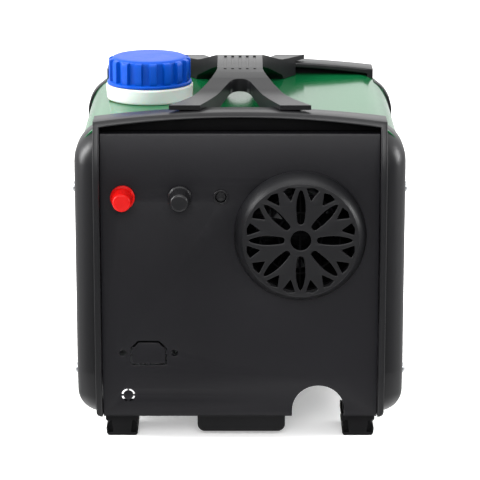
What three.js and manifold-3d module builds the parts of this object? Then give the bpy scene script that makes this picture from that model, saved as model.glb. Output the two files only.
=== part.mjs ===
// Portable diesel air heater: a boxy case with moulded end trims, a folded sheet cover,
// a saddle handle, a filler cap, and the air heater core that runs from end to end.
// Millimetres, +Z up. The intake end faces -Y and the outlet end +Y. The origin is on the
// floor, under the middle of the case.
import * as THREE from 'three';
import { mergeVertices } from 'three/addons/utils/BufferGeometryUtils.js';
import Module from 'manifold-3d';

const wasm = await Module();
wasm.setup();

// ---------------------------------------------------------------- driving dimensions
const GAP = 0.3;                 // air between two pieces that touch

const CASE_HALF_WIDTH = 127.5;     // to the outside of the moulded cheeks
const CHEEK_TOP = 253;
const CHEEK_BOTTOM = 17.5;
const CHEEK_TOP_RADIUS = 28;
const CHEEK_BOTTOM_RADIUS = 19;
const CHEEK_NOSE = 20;           // depth of the rounded front edge
const CHEEK_NOSE_WIDTH = 16;
const CHEEK_FACE_Y = 124;        // distance from the middle to the front of a cheek
const CHEEK_BACK_Y = 85;

const ARCH_HALF_WIDTH = 112;
const ARCH_WALL = 5;
const ARCH_CROWN_TOP = 262;
const ARCH_END_TOP = 255;
const ARCH_ROOF = 4;
const ARCH_BOTTOM = 21;
const ARCH_FACE_Y = 133;
const ARCH_BACK_Y = 97;

const PANEL_FACE_Y = 125;
const PANEL_SHEET = 1.5;
const PANEL_BOTTOM = 21.8;
const PANEL_TOP = 246;
const PANEL_FLANGE = 15;
const CREASE_Z = 56;             // below this the end leans in towards the floor
const LEAN_Z = 208;              // above this it curves back
const LOWER_LEAN = 8;
const UPPER_LEAN = 15;

const COVER_HALF_WIDTH = 124;
const COVER_TOP = 250;
const COVER_BOTTOM = 24.5;
const COVER_RADIUS = 25;
const COVER_MOUTH_HALF_WIDTH = 104;   // the cover's lower edges turn in to here
const COVER_SHEET = 1.2;
const COVER_END_Y = 107;

const BASE_BOTTOM = 18.6;
const BASE_SHEET = 1.5;
const BASE_HALF_WIDTH = 109;
const BASE_END_Y = 115;
const BASE_LIP_HEIGHT = 3;

const NOTCH_X = 61;              // half-round pipe notch
const NOTCH_Z = 26;
const NOTCH_RADIUS = 20.3;
const PIPE_SLOT_LENGTH = 84;

const CORE_X = 46.2;             // axis of the air heater core, which runs along Y
const CORE_Z = 167.2;

const FILLER_X = -72.6;
const CAP_SEAT_Z = 262.6;

const POST_Z = 197.3;
const RED_POST_X = -89.6;
const BLACK_POST_X = -46;
const BUTTON_X = -14.6;

const SOCKET_X = -70.8;          // appliance inlet knock-out, 40 mm between its screws
const SOCKET_Z = 73.2;
const ROUND_KNOCKOUT_X = -87;
const ROUND_KNOCKOUT_Z = 38.4;

const FOOT_X = 92.8;
const FOOT_FRONT_Y = 107;
const FOOT_LENGTH = 34;

const SIDE_SCREW_Y = 96;
const SIDE_SCREW_HEIGHTS = [52.6, 199];

// ---------------------------------------------------------------- materials
const finish = (color, roughness, metalness) =>
  new THREE.MeshStandardMaterial({ color, roughness, metalness });

const BLACK_MOULDING = finish(0x1b1b1d, 0.45, 0);
const BLACK_SHEET = finish(0x1e1e21, 0.5, 0);
const GREEN_PAINT = finish(0x0f5a2c, 0.15, 0);
const BLUE_PLASTIC = finish(0x0a53d8, 0.35, 0);
const WHITE_PLASTIC = finish(0xdfe4e0, 0.4, 0);
const RED_PLASTIC = finish(0xe02412, 0.35, 0);
const RUBBER = finish(0x17181a, 0.8, 0);
const STEEL = finish(0xb9bcc0, 0.3, 1);
const ALUMINIUM = finish(0xa7a9ac, 0.4, 1);
const BRASS = finish(0xb89043, 0.35, 1);
const DARK_GLASS = finish(0x0a0d10, 0.05, 0);

// ---------------------------------------------------------------- solids
function toSolid(geometry) {
  const plain = geometry.clone();
  for (const name of Object.keys(plain.attributes)) {
    if (name !== 'position') plain.deleteAttribute(name);
  }
  const merged = mergeVertices(plain, 1e-4);
  const position = merged.attributes.position;
  const index = Array.from(merged.index.array);
  const kept = [];
  for (let i = 0; i < index.length; i += 3) {
    const [a, b, c] = index.slice(i, i + 3);
    if (a !== b && b !== c && c !== a) kept.push(a, b, c);
  }
  if (signedVolume(position, kept) < 0) kept.reverse();
  return new wasm.Manifold(new wasm.Mesh({
    numProp: 3,
    vertProperties: new Float32Array(position.array),
    triVerts: new Uint32Array(kept),
  }));
}

function signedVolume(position, index) {
  const [a, b, c] = [new THREE.Vector3(), new THREE.Vector3(), new THREE.Vector3()];
  let volume = 0;
  for (let i = 0; i < index.length; i += 3) {
    a.fromBufferAttribute(position, index[i]);
    b.fromBufferAttribute(position, index[i + 1]);
    c.fromBufferAttribute(position, index[i + 2]);
    volume += a.dot(b.cross(c));
  }
  return volume;
}

function toGeometry(solid) {
  const mesh = solid.getMesh();
  const geometry = new THREE.BufferGeometry();
  geometry.setAttribute('position', new THREE.BufferAttribute(mesh.vertProperties, 3));
  geometry.setIndex(new THREE.BufferAttribute(mesh.triVerts, 1));
  geometry.computeVertexNormals();
  return geometry;
}

function extrude(shape, depth, curveSegments, bevel = {}) {
  return new THREE.ExtrudeGeometry(shape, {
    depth, curveSegments, bevelEnabled: false, steps: 1, ...bevel,
  });
}

// An outline drawn in X and Z, pushed along Y.
function frontPrism(shape, yLow, yHigh, curveSegments = 8) {
  const geometry = extrude(shape, yHigh - yLow, curveSegments);
  const basis = new THREE.Matrix4().makeBasis(
    new THREE.Vector3(1, 0, 0), new THREE.Vector3(0, 0, 1), new THREE.Vector3(0, -1, 0));
  return toSolid(geometry.applyMatrix4(basis).translate(0, yHigh, 0));
}

// An outline drawn in Y and Z, pushed along X.
function sidePrism(shape, xLow, xHigh, curveSegments = 8) {
  const geometry = extrude(shape, xHigh - xLow, curveSegments);
  const basis = new THREE.Matrix4().makeBasis(
    new THREE.Vector3(0, 1, 0), new THREE.Vector3(0, 0, 1), new THREE.Vector3(1, 0, 0));
  return toSolid(geometry.applyMatrix4(basis).translate(xLow, 0, 0));
}

// An outline drawn in X and Y, pushed along Z.
function planPrism(shape, zLow, zHigh, curveSegments = 8) {
  return toSolid(extrude(shape, zHigh - zLow, curveSegments).translate(0, 0, zLow));
}

function box(xLow, xHigh, yLow, yHigh, zLow, zHigh) {
  const geometry = new THREE.BoxGeometry(xHigh - xLow, yHigh - yLow, zHigh - zLow);
  return toSolid(geometry.translate((xLow + xHigh) / 2, (yLow + yHigh) / 2, (zLow + zHigh) / 2));
}

// A closed profile of [radius, height] pairs, turned about an axis.
function revolve(profile, segments) {
  const points = profile.map(([radius, height]) => new THREE.Vector2(radius, height));
  points.push(points[0].clone());
  return new THREE.LatheGeometry(points, segments);
}

const turnedAboutY = (profile, segments, x = 0, y = 0, z = 0) =>
  toSolid(revolve(profile, segments).translate(x, y, z));

const turnedAboutZ = (profile, segments, x = 0, y = 0, z = 0) =>
  toSolid(revolve(profile, segments).rotateX(Math.PI / 2).translate(x, y, z));

const turnedAboutX = (profile, segments, x = 0, y = 0, z = 0) =>
  toSolid(revolve(profile, segments).rotateZ(-Math.PI / 2).translate(x, y, z));

const disc = (radius, low, high) => [[0, low], [radius, low], [radius, high], [0, high]];

const tube = (inner, outer, low, high) => [
  [inner, low], [outer, low], [outer, high], [inner, high],
];

const joined = (solids) => solids.reduce((whole, solid) => whole.add(solid));

function ovalShape(centreX, centreY, halfWidth, halfHeight, radius) {
  const shape = new THREE.Shape();
  const right = halfWidth - radius;
  const top = halfHeight - radius;
  shape.absarc(centreX + right, centreY + top, radius, 0, Math.PI / 2);
  shape.absarc(centreX - right, centreY + top, radius, Math.PI / 2, Math.PI);
  shape.absarc(centreX - right, centreY - top, radius, Math.PI, Math.PI * 1.5);
  shape.absarc(centreX + right, centreY - top, radius, Math.PI * 1.5, Math.PI * 2);
  shape.closePath();
  return shape;
}

function circleShape(x, y, radius) {
  return new THREE.Shape().absarc(x, y, radius, 0, Math.PI * 2);
}

function polygon(points) {
  return new THREE.Shape(points.map(([x, y]) => new THREE.Vector2(x, y)));
}

const heater = new THREE.Group();

function place(name, solidOrGeometry, material, parent = heater) {
  const geometry = solidOrGeometry.isBufferGeometry ? solidOrGeometry : toGeometry(solidOrGeometry);
  const mesh = new THREE.Mesh(geometry, material);
  mesh.name = name;
  parent.add(mesh);
  return mesh;
}

// ---------------------------------------------------------------- the end profile
// How far the end of the case leans in at height z: a flat middle, a straight lean below
// the crease, and a gentle curve towards the top.
function leanIn(z) {
  if (z < CREASE_Z) return LOWER_LEAN * (CREASE_Z - z) / (CREASE_Z - ARCH_BOTTOM);
  if (z < LEAN_Z) return 0;
  return UPPER_LEAN * ((z - LEAN_Z) / (ARCH_CROWN_TOP - LEAN_Z)) ** 2;
}

// Heights at which the end profile needs a point between zLow and zHigh.
function profileHeights(zLow, zHigh, curveSteps = 5) {
  const heights = [zLow, CREASE_Z, LEAN_Z];
  for (let step = 1; step <= curveSteps; step++) {
    heights.push(LEAN_Z + (zHigh - LEAN_Z) * step / curveSteps);
  }
  return heights;
}

// ---------------------------------------------------------------- end trims
// A block with a slightly domed top and rounded lower corners, seen from the end.
function domedShape(half, bottom, shoulder, footRadius) {
  const control = shoulder + 2 * (ARCH_CROWN_TOP - ARCH_END_TOP);
  const shape = new THREE.Shape();
  shape.absarc(half - footRadius, bottom + footRadius, footRadius, -Math.PI / 2, 0);
  shape.lineTo(half, shoulder);
  shape.quadraticCurveTo(0, control, -half, shoulder);
  shape.lineTo(-half, bottom + footRadius);
  shape.absarc(-half + footRadius, bottom + footRadius, footRadius, Math.PI, Math.PI * 1.5);
  return shape;
}

function makeArch() {
  const inner = ARCH_HALF_WIDTH - ARCH_WALL;
  const profile = profileHeights(ARCH_BOTTOM - 1, ARCH_CROWN_TOP + 1)
    .map((z) => [-ARCH_FACE_Y + leanIn(z), z]);
  profile.push([-ARCH_BACK_Y, ARCH_CROWN_TOP + 1], [-ARCH_BACK_Y, ARCH_BOTTOM - 1]);
  const band = sidePrism(polygon(profile), -CASE_HALF_WIDTH, CASE_HALF_WIDTH);
  const outside = domedShape(ARCH_HALF_WIDTH, ARCH_BOTTOM, ARCH_END_TOP, 4);
  const inside = domedShape(inner, 0, ARCH_END_TOP - ARCH_ROOF, 1);
  const block = frontPrism(outside, -ARCH_FACE_Y - 1, -ARCH_BACK_Y, 10).intersect(band);
  const hollow = frontPrism(inside, -ARCH_FACE_Y - 2, 0, 10);
  // Only the hood reaches back over the cover; the legs stop short of it.
  const legEnd = -COVER_END_Y - GAP;
  const behindLegs = box(-CASE_HALF_WIDTH, CASE_HALF_WIDTH, legEnd, 0, 0, CREASE_Z)
    .add(frontPrism(coverOutline(GAP), legEnd, 0, 6));
  const web = box(-inner - 1, inner + 1, legEnd - 3, legEnd, PANEL_TOP + GAP, ARCH_CROWN_TOP);
  return block.subtract(hollow).subtract(behindLegs).add(web.intersect(block));
}

function cheekOutline(inset) {
  const half = CASE_HALF_WIDTH - inset;
  const top = CHEEK_TOP - inset;
  const bottom = CHEEK_BOTTOM + inset;
  const topRadius = CHEEK_TOP_RADIUS - inset;
  const bottomRadius = CHEEK_BOTTOM_RADIUS - inset;
  const sideHeights = [CREASE_Z, LEAN_Z, LEAN_Z + 12];
  const shape = new THREE.Shape();
  shape.moveTo(-half + bottomRadius, bottom);
  shape.absarc(half - bottomRadius, bottom + bottomRadius, bottomRadius, -Math.PI / 2, 0);
  for (const z of sideHeights) shape.lineTo(half, z);
  shape.absarc(half - topRadius, top - topRadius, topRadius, 0, Math.PI / 2);
  shape.absarc(-half + topRadius, top - topRadius, topRadius, Math.PI / 2, Math.PI);
  for (const z of sideHeights.toReversed()) shape.lineTo(-half, z);
  shape.absarc(-half + bottomRadius, bottom + bottomRadius, bottomRadius,
    Math.PI, Math.PI * 1.5);
  return shape;
}

function coverOutline(grow) {
  const half = COVER_HALF_WIDTH + grow;
  const top = COVER_TOP + grow;
  const bottom = COVER_BOTTOM - grow;
  const radius = COVER_RADIUS + grow;
  return ovalShape(0, (top + bottom) / 2, half, (top - bottom) / 2, radius);
}

// A full rounded hoop whose front edge rolls over, leaned back like the rest of the end.
function cheekHoop() {
  const length = CHEEK_FACE_Y - CHEEK_BACK_Y;
  const geometry = extrude(cheekOutline(CHEEK_NOSE_WIDTH), length, 4, {
    bevelEnabled: true, bevelThickness: CHEEK_NOSE, bevelSize: CHEEK_NOSE_WIDTH,
    bevelSegments: 5,
  });
  geometry.rotateX(Math.PI / 2).translate(0, -CHEEK_FACE_Y + length + CHEEK_NOSE, 0);
  const position = geometry.attributes.position;
  for (let i = 0; i < position.count; i++) {
    const y = position.getY(i);
    const share = THREE.MathUtils.clamp((-CHEEK_BACK_Y - y) / CHEEK_NOSE, 0, 1);
    position.setY(i, y + share * leanIn(position.getZ(i)));
  }
  return toSolid(geometry);
}

// One cheek: the part of the hoop beside the arch, on the side given by sign.
function makeCheek(sign) {
  const far = CASE_HALF_WIDTH + 20;
  const inner = ARCH_HALF_WIDTH + GAP;
  const keep = sign > 0
    ? box(inner, far, -far, -CHEEK_BACK_Y, 0, CHEEK_TOP + 10)
    : box(-far, -inner, -far, -CHEEK_BACK_Y, 0, CHEEK_TOP + 10);
  let cheek = cheekHoop().intersect(keep);
  cheek = cheek.subtract(frontPrism(coverOutline(GAP), -COVER_END_Y - GAP, 0, 6));
  for (const z of SIDE_SCREW_HEIGHTS) cheek = cheek.subtract(sideHole(sign, z));
  return cheek;
}

function sideHole(sign, z) {
  const radius = 2.2;
  return turnedAboutX(disc(radius, -25, 25), 6, sign * COVER_HALF_WIDTH, -SIDE_SCREW_Y, z);
}

function makeSideScrew(sign, z) {
  const headRadius = 4;
  const headHeight = 2.1;
  const shankRadius = 1.7;
  const shankLength = 13;
  const profile = [
    [0, -shankLength], [shankRadius, -shankLength], [shankRadius, 0], [headRadius, 0],
    [headRadius * 0.7, headHeight * 0.85], [0, headHeight],
  ];
  const seat = CASE_HALF_WIDTH + GAP;
  return turnedAboutX(profile, 10, seat).scale([sign, 1, 1]).translate([0, -SIDE_SCREW_Y, z]);
}

for (const [end, turn] of [['front', 0], ['rear', Math.PI]]) {
  const group = new THREE.Group();
  group.rotation.z = turn;
  heater.add(group);
  place(`${end}_arch`, makeArch(), BLACK_MOULDING, group);
  // Left and right are named as seen from the intake end.
  for (const sign of [-1, 1]) {
    const isLeft = (sign < 0) === (end === 'front');
    const side = isLeft ? 'left' : 'right';
    place(`${end}_${side}_cheek`, makeCheek(sign), BLACK_MOULDING, group);
    SIDE_SCREW_HEIGHTS.forEach((z, i) => {
      const level = i === 0 ? 'lower' : 'upper';
      place(`${end}_${side}_${level}_screw`, makeSideScrew(sign, z), STEEL, group);
    });
  }
}

// ---------------------------------------------------------------- end panels
// Folded sheet between the legs of the arch, with a flange turned in at the top.
function panelBlank() {
  const heights = profileHeights(PANEL_BOTTOM, PANEL_TOP, 4);
  const outside = heights.map((z) => [-PANEL_FACE_Y + leanIn(z), z]);
  const inside = heights.map((z) => [-PANEL_FACE_Y + PANEL_SHEET + leanIn(z), z]).reverse();
  const topY = outside[outside.length - 1][0];
  inside[0][1] -= PANEL_SHEET;
  const flange = [
    [topY + PANEL_FLANGE, PANEL_TOP], [topY + PANEL_FLANGE, PANEL_TOP - PANEL_SHEET],
  ];
  const half = ARCH_HALF_WIDTH - ARCH_WALL - GAP;
  return sidePrism(polygon([...outside, ...flange, ...inside]), -half, half);
}

const CUT_NEAR = -PANEL_FACE_Y - 5;
const CUT_FAR = -PANEL_FACE_Y + 25;

const roundCut = (x, z, radius, segments = 16) =>
  frontPrism(circleShape(x, z, radius), CUT_NEAR, CUT_FAR, segments);

// A closed line of slits that leaves a blank standing on a few bridges.
function slitRing(outer, inner, bridges) {
  outer.holes.push(inner);
  let slit = frontPrism(outer, CUT_NEAR, CUT_FAR, 4);
  for (const [x, z, halfWidth, halfHeight] of bridges) {
    slit = slit.subtract(box(x - halfWidth, x + halfWidth, CUT_NEAR, CUT_FAR,
      z - halfHeight, z + halfHeight));
  }
  return slit;
}

// Outline of an appliance inlet: two top corners cut off, two bottom corners rounded.
function socketOutline(grow) {
  const half = 13.5 + grow;
  const high = 9.1 + grow;
  const chamfer = 5.6 + grow * 0.6;
  const radius = 2.2 + grow;
  const shape = new THREE.Shape();
  shape.absarc(SOCKET_X - half + radius, SOCKET_Z - high + radius, radius,
    Math.PI, Math.PI * 1.5);
  shape.absarc(SOCKET_X + half - radius, SOCKET_Z - high + radius, radius,
    Math.PI * 1.5, Math.PI * 2);
  shape.lineTo(SOCKET_X + half, SOCKET_Z + high - chamfer);
  shape.lineTo(SOCKET_X + half - chamfer, SOCKET_Z + high);
  shape.lineTo(SOCKET_X - half + chamfer, SOCKET_Z + high);
  shape.lineTo(SOCKET_X - half, SOCKET_Z + high - chamfer);
  return shape;
}

function socketKnockout() {
  const slit = 1.4;
  const bridge = 1.0;
  return slitRing(socketOutline(slit / 2), socketOutline(-slit / 2), [
    [SOCKET_X - 13.5, SOCKET_Z - 0.3, 2, bridge / 2],
    [SOCKET_X + 13.5, SOCKET_Z - 0.3, 2, bridge / 2],
    [SOCKET_X + 0.6, SOCKET_Z - 9.1, bridge * 0.9, 2],
  ]);
}

function roundKnockout() {
  const bridge = 0.7;
  return slitRing(
    ovalShape(ROUND_KNOCKOUT_X, ROUND_KNOCKOUT_Z, 5.3, 5.3, 5.29),
    ovalShape(ROUND_KNOCKOUT_X, ROUND_KNOCKOUT_Z, 3.9, 3.9, 3.89),
    [
      [ROUND_KNOCKOUT_X, ROUND_KNOCKOUT_Z, bridge, 8],
      [ROUND_KNOCKOUT_X, ROUND_KNOCKOUT_Z, 8, bridge],
    ]);
}

function pipeNotch() {
  const shape = new THREE.Shape();
  shape.moveTo(NOTCH_X - NOTCH_RADIUS, 0);
  shape.lineTo(NOTCH_X + NOTCH_RADIUS, 0);
  shape.absarc(NOTCH_X, NOTCH_Z, NOTCH_RADIUS, 0, Math.PI);
  return frontPrism(shape, CUT_NEAR, CUT_FAR, 18);
}

const SOCKET_SCREW_SPACING = 40;
const INTAKE_OPENING_RADIUS = 44;

function makeFrontPanel() {
  const cuts = [
    roundCut(CORE_X, CORE_Z, INTAKE_OPENING_RADIUS, 24),
    roundCut(RED_POST_X, POST_Z, 4.2, 10),
    roundCut(BLACK_POST_X, POST_Z, 4.2, 10),
    roundCut(BUTTON_X, POST_Z, 5.3, 16),
    roundCut(SOCKET_X - SOCKET_SCREW_SPACING / 2, SOCKET_Z, 2.7, 10),
    roundCut(SOCKET_X + SOCKET_SCREW_SPACING / 2, SOCKET_Z, 2.7, 10),
    socketKnockout(),
    roundKnockout(),
    pipeNotch(),
  ];
  return cuts.reduce((panel, cut) => panel.subtract(cut), panelBlank());
}

const OUTLET_RADIUS = 38;
const CONTROL_X = 42;            // as seen from the outlet end
const CONTROL_Z = 176;
const CONTROL_HALF_WIDTH = 33;
const CONTROL_HALF_HEIGHT = 40;

function makeRearPanel() {
  const half = CONTROL_HALF_WIDTH - 5;
  const high = CONTROL_HALF_HEIGHT - 5;
  return panelBlank()
    .subtract(roundCut(-CORE_X, CORE_Z, OUTLET_RADIUS + 0.6, 24))
    .subtract(box(CONTROL_X - half, CONTROL_X + half, CUT_NEAR, CUT_FAR,
      CONTROL_Z - high, CONTROL_Z + high));
}

place('front_panel', makeFrontPanel(), BLACK_SHEET);
const rearEnd = new THREE.Group();
rearEnd.rotation.z = Math.PI;
heater.add(rearEnd);
place('rear_panel', makeRearPanel(), BLACK_SHEET, rearEnd);

// ---------------------------------------------------------------- cover and base
function makeCover() {
  const outer = frontPrism(coverOutline(0), -COVER_END_Y, COVER_END_Y, 6);
  const inner = frontPrism(coverOutline(-COVER_SHEET), -COVER_END_Y - 1, COVER_END_Y + 1, 6);
  const mouth = COVER_MOUTH_HALF_WIDTH;
  const open = box(-mouth, mouth, -COVER_END_Y - 1, COVER_END_Y + 1, 0, COVER_BOTTOM + 10);
  let cover = outer.subtract(inner).subtract(open);
  cover = cover.subtract(turnedAboutZ(disc(27.6, 0, 30), 24, FILLER_X, 0, 235));
  for (const sign of [-1, 1]) {
    for (const z of SIDE_SCREW_HEIGHTS) {
      const hole = sideHole(sign, z);
      cover = cover.subtract(hole).subtract(hole.mirror([0, 1, 0]));
    }
  }
  return cover;
}

place('cover', makeCover(), GREEN_PAINT);

function makeBasePan() {
  const floor = BASE_BOTTOM + BASE_SHEET;
  const flangeTop = COVER_BOTTOM - GAP;
  const half = BASE_HALF_WIDTH;
  const lipHalf = ARCH_HALF_WIDTH - ARCH_WALL;
  const lipTop = BASE_BOTTOM + BASE_LIP_HEIGHT - GAP;
  const end = COVER_END_Y;
  const solids = [
    box(-half, half, -end, end, BASE_BOTTOM, floor),
    box(-lipHalf, lipHalf, -BASE_END_Y, BASE_END_Y, BASE_BOTTOM, floor),
    box(-lipHalf, lipHalf, -BASE_END_Y, -BASE_END_Y + BASE_SHEET, BASE_BOTTOM, lipTop),
    box(-lipHalf, lipHalf, BASE_END_Y - BASE_SHEET, BASE_END_Y, BASE_BOTTOM, lipTop),
    box(-half, -half + BASE_SHEET, -end, end, BASE_BOTTOM, flangeTop),
    box(half - BASE_SHEET, half, -end, end, BASE_BOTTOM, flangeTop),
  ];
  const slotEnd = -BASE_END_Y + PIPE_SLOT_LENGTH;
  const slot = new THREE.Shape();
  slot.moveTo(NOTCH_X - NOTCH_RADIUS, -BASE_END_Y - 5);
  slot.lineTo(NOTCH_X + NOTCH_RADIUS, -BASE_END_Y - 5);
  slot.absarc(NOTCH_X, slotEnd - NOTCH_RADIUS, NOTCH_RADIUS, 0, Math.PI);
  const vent = ovalShape(ROUND_KNOCKOUT_X, -56, 12, 19, 6);
  return joined(solids)
    .subtract(planPrism(slot, BASE_BOTTOM - 5, BASE_BOTTOM + 10, 12))
    .subtract(planPrism(vent, BASE_BOTTOM - 5, BASE_BOTTOM + 10, 4));
}

place('base_pan', makeBasePan(), BLACK_SHEET);

// A moulded block with a waist between its top flange and its splayed tread.
function footOutline() {
  const top = BASE_BOTTOM - GAP;
  const half = [
    [13, top], [13, 13.2], [11.6, 11.8], [10.6, 11.4], [10.6, 9.8], [11.8, 8.6],
    [12.6, 6], [12.2, 1.8], [10.8, 0],
  ];
  return polygon([...half, ...half.toReversed().map(([x, z]) => [-x, z])]);
}

function makeFoot(sign) {
  const y = -FOOT_FRONT_Y;
  const pocketDepth = 4;
  let foot = frontPrism(footOutline(), y, y + FOOT_LENGTH);
  for (const side of [-1, 1]) {
    const pocket = polygon([
      [side * 8.2, 12.4], [side * 11.2, 12.4], [side * 11.2, 2.6], [side * 7.0, 2.6],
    ]);
    foot = foot.subtract(frontPrism(pocket, y - 1, y + pocketDepth));
  }
  return foot.translate([sign * FOOT_X, 0, 0]);
}

for (const [end, turn] of [['front', 0], ['rear', Math.PI]]) {
  const group = new THREE.Group();
  group.rotation.z = turn;
  heater.add(group);
  for (const sign of [-1, 1]) {
    const side = (sign < 0) === (end === 'front') ? 'left' : 'right';
    place(`${end}_${side}_foot`, makeFoot(sign), RUBBER, group);
  }
}

// Guard that hangs below the base, open at the top.
function makeUnderGuard() {
  const [x, half, wall, radius] = [1, 34.5, 2, 6];
  const [low, high] = [3.2, BASE_BOTTOM - GAP];
  const [near, far] = [-FOOT_FRONT_Y, 30];
  const trough = (inset) => {
    const shape = new THREE.Shape();
    const corner = radius - inset;
    shape.absarc(x - half + radius, low + radius, corner, Math.PI, Math.PI * 1.5);
    shape.absarc(x + half - radius, low + radius, corner, Math.PI * 1.5, Math.PI * 2);
    shape.lineTo(x + half - inset, high + inset);
    shape.lineTo(x - half + inset, high + inset);
    return shape;
  };
  return frontPrism(trough(0), near, far, 5)
    .subtract(frontPrism(trough(wall), near + wall, far - wall, 5));
}

place('under_guard', makeUnderGuard(), BLACK_MOULDING);

// ---------------------------------------------------------------- handle
const HANDLE_TIP_Y = 109;
const GRIP_HALF_WIDTH = 18;
const GRIP_HALF_LENGTH = 30;
const CROTCH_Y = 50;             // where the two legs at one end part
const HANDLE_TOP = [[-109, 265.6], [-79, 267], [-62, 271.4], [-35, 278.6], [0, 281]];
const HANDLE_UNDERSIDE = [[-76.5, 254], [-60, 261.2], [-45, 266.2], [-24, 270.6], [0, 272]];

// The saddle seen from above: a grip that splays into two legs at each end.
function handlePlan() {
  const tip = HANDLE_TIP_Y;
  const [toeInner, toeOuter] = [30.5, 54.4];
  const shape = new THREE.Shape();
  const quarter = (sx, sy, forward) => {
    if (forward) {
      shape.lineTo(sx * toeInner, sy * tip);
      shape.lineTo(sx * toeOuter, sy * tip);
      shape.quadraticCurveTo(sx * 20, sy * 55, sx * GRIP_HALF_WIDTH, sy * 30);
    } else {
      shape.quadraticCurveTo(sx * 20, sy * 55, sx * toeOuter, sy * tip);
      shape.lineTo(sx * toeInner, sy * tip);
    }
  };
  const crotch = (sx, sy, outgoing) => {
    const [bend, parting] = [[9.5, 58], CROTCH_Y];
    if (outgoing) {
      shape.quadraticCurveTo(sx * 7, sy * parting, sx * bend[0], sy * bend[1]);
      shape.quadraticCurveTo(sx * 14, sy * 68, sx * 20, sy * 82);
    } else {
      shape.lineTo(sx * 20, sy * 82);
      shape.quadraticCurveTo(sx * 14, sy * 68, sx * bend[0], sy * bend[1]);
      shape.quadraticCurveTo(sx * 7, sy * parting, 0, sy * parting);
    }
  };
  shape.moveTo(0, -CROTCH_Y);
  crotch(1, -1, true);
  quarter(1, -1, true);
  shape.lineTo(GRIP_HALF_WIDTH, 30);
  quarter(1, 1, false);
  crotch(1, 1, false);
  crotch(-1, 1, true);
  quarter(-1, 1, true);
  shape.lineTo(-GRIP_HALF_WIDTH, -30);
  quarter(-1, -1, false);
  crotch(-1, -1, false);
  return shape;
}

const mirroredEnds = (points) => [
  ...points, ...points.slice(0, -1).reverse().map(([y, z]) => [-y, z]),
];

const toVectors = (points) => points.map(([x, y]) => new THREE.Vector2(x, y));

function handleSide() {
  const hoodTop = ARCH_CROWN_TOP - 0.1;
  const coverSeat = COVER_TOP + GAP;
  const [hoodEdge, pedestalEnd] = [ARCH_BACK_Y - GAP, 79];
  const top = new THREE.SplineCurve(toVectors(mirroredEnds(HANDLE_TOP))).getPoints(22);
  const under = new THREE.SplineCurve(toVectors(mirroredEnds(HANDLE_UNDERSIDE)))
    .getPoints(14).reverse();
  const rearPedestal = [
    [HANDLE_TIP_Y, hoodTop], [hoodEdge, hoodTop], [hoodEdge, coverSeat],
    [pedestalEnd, coverSeat],
  ];
  const frontPedestal = rearPedestal.map(([y, z]) => [-y, z]).reverse();
  return new THREE.Shape([
    ...top, ...toVectors(rearPedestal), ...under, ...toVectors(frontPedestal),
  ]);
}

function makeHandle() {
  const grooveDepth = 1.2;
  const groovePitch = 5.86;
  const grooveHalfWidth = 1.1;
  const dotRadius = 1.35;
  const plan = planPrism(handlePlan(), COVER_TOP - 5, 300, 7);
  let handle = sidePrism(handleSide(), -60, 60).intersect(plan);
  const top = new THREE.SplineCurve(toVectors(mirroredEnds(HANDLE_TOP)));
  const onGrip = top.getPoints(36).filter((point) => Math.abs(point.x) <= GRIP_HALF_LENGTH);
  const floor = onGrip.map((point) => new THREE.Vector2(point.x, point.y - grooveDepth));
  const air = onGrip.map((point) => new THREE.Vector2(point.x, point.y + 4)).reverse();
  for (let i = -2; i <= 2; i++) {
    const x = i * groovePitch;
    const groove = new THREE.Shape([...floor, ...air]);
    handle = handle.subtract(sidePrism(groove, x - grooveHalfWidth, x + grooveHalfWidth));
    for (const end of [-1, 1]) {
      const y = end * GRIP_HALF_LENGTH;
      handle = handle.subtract(turnedAboutZ(disc(dotRadius, 275.6, 290), 7, x, y, 0));
    }
  }
  return handle;
}

place('handle', makeHandle(), BLACK_MOULDING);

// ---------------------------------------------------------------- tank, neck and cap
const NECK_OUTER = 26.4;
const NECK_INNER = 22.5;
const NECK_TOP = 276;

function makeTank() {
  const [xLow, xHigh, halfLength, zLow, zHigh, wall] = [-116.5, -9, 66, 62, 239, 2.5];
  const centre = (xLow + xHigh) / 2;
  const halfWidth = (xHigh - xLow) / 2;
  const outer = planPrism(ovalShape(centre, 0, halfWidth, halfLength, 14), zLow, zHigh, 4);
  const inner = planPrism(ovalShape(centre, 0, halfWidth - wall, halfLength - wall, 11.5),
    zLow + wall, zHigh - wall, 4);
  const neck = turnedAboutZ(disc(NECK_OUTER, zHigh - 1, NECK_TOP), 24, FILLER_X, 0, 0);
  const bore = turnedAboutZ(disc(NECK_INNER, zHigh - 10, NECK_TOP + 5), 24, FILLER_X, 0, 0);
  return outer.add(neck).subtract(inner).subtract(bore);
}

place('fuel_tank', makeTank(), WHITE_PLASTIC);

function makeShelf() {
  const [xLow, xHigh, half, top, sheet, flange] = [-117, -9, 70, 61.6, 1.5, 10];
  const legLow = -COVER_MOUTH_HALF_WIDTH + 1;
  const floor = BASE_BOTTOM + BASE_SHEET + GAP;
  return joined([
    box(xLow, xHigh, -half, half, top - sheet, top),
    box(legLow, xHigh, -half, -half + sheet, floor, top),
    box(legLow, xHigh, half - sheet, half, floor, top),
    box(-60, xHigh, -half, -half + flange, floor, floor + sheet),
    box(legLow, xHigh, half - flange, half, floor, floor + sheet),
  ]).subtract(box(ROUND_KNOCKOUT_X - 14, ROUND_KNOCKOUT_X + 14, -90, -50, 0, 45));
}

place('tank_shelf', makeShelf(), STEEL);

const collarProfile = [
  [NECK_OUTER + 0.8, COVER_TOP + GAP], [33.5, COVER_TOP + GAP], [34.2, COVER_TOP + 1.2],
  [35, CAP_SEAT_Z - 1.2], [34.5, CAP_SEAT_Z - GAP], [NECK_OUTER + 0.8, CAP_SEAT_Z - GAP],
];
place('filler_collar', turnedAboutZ(collarProfile, 32, FILLER_X), WHITE_PLASTIC);

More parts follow.
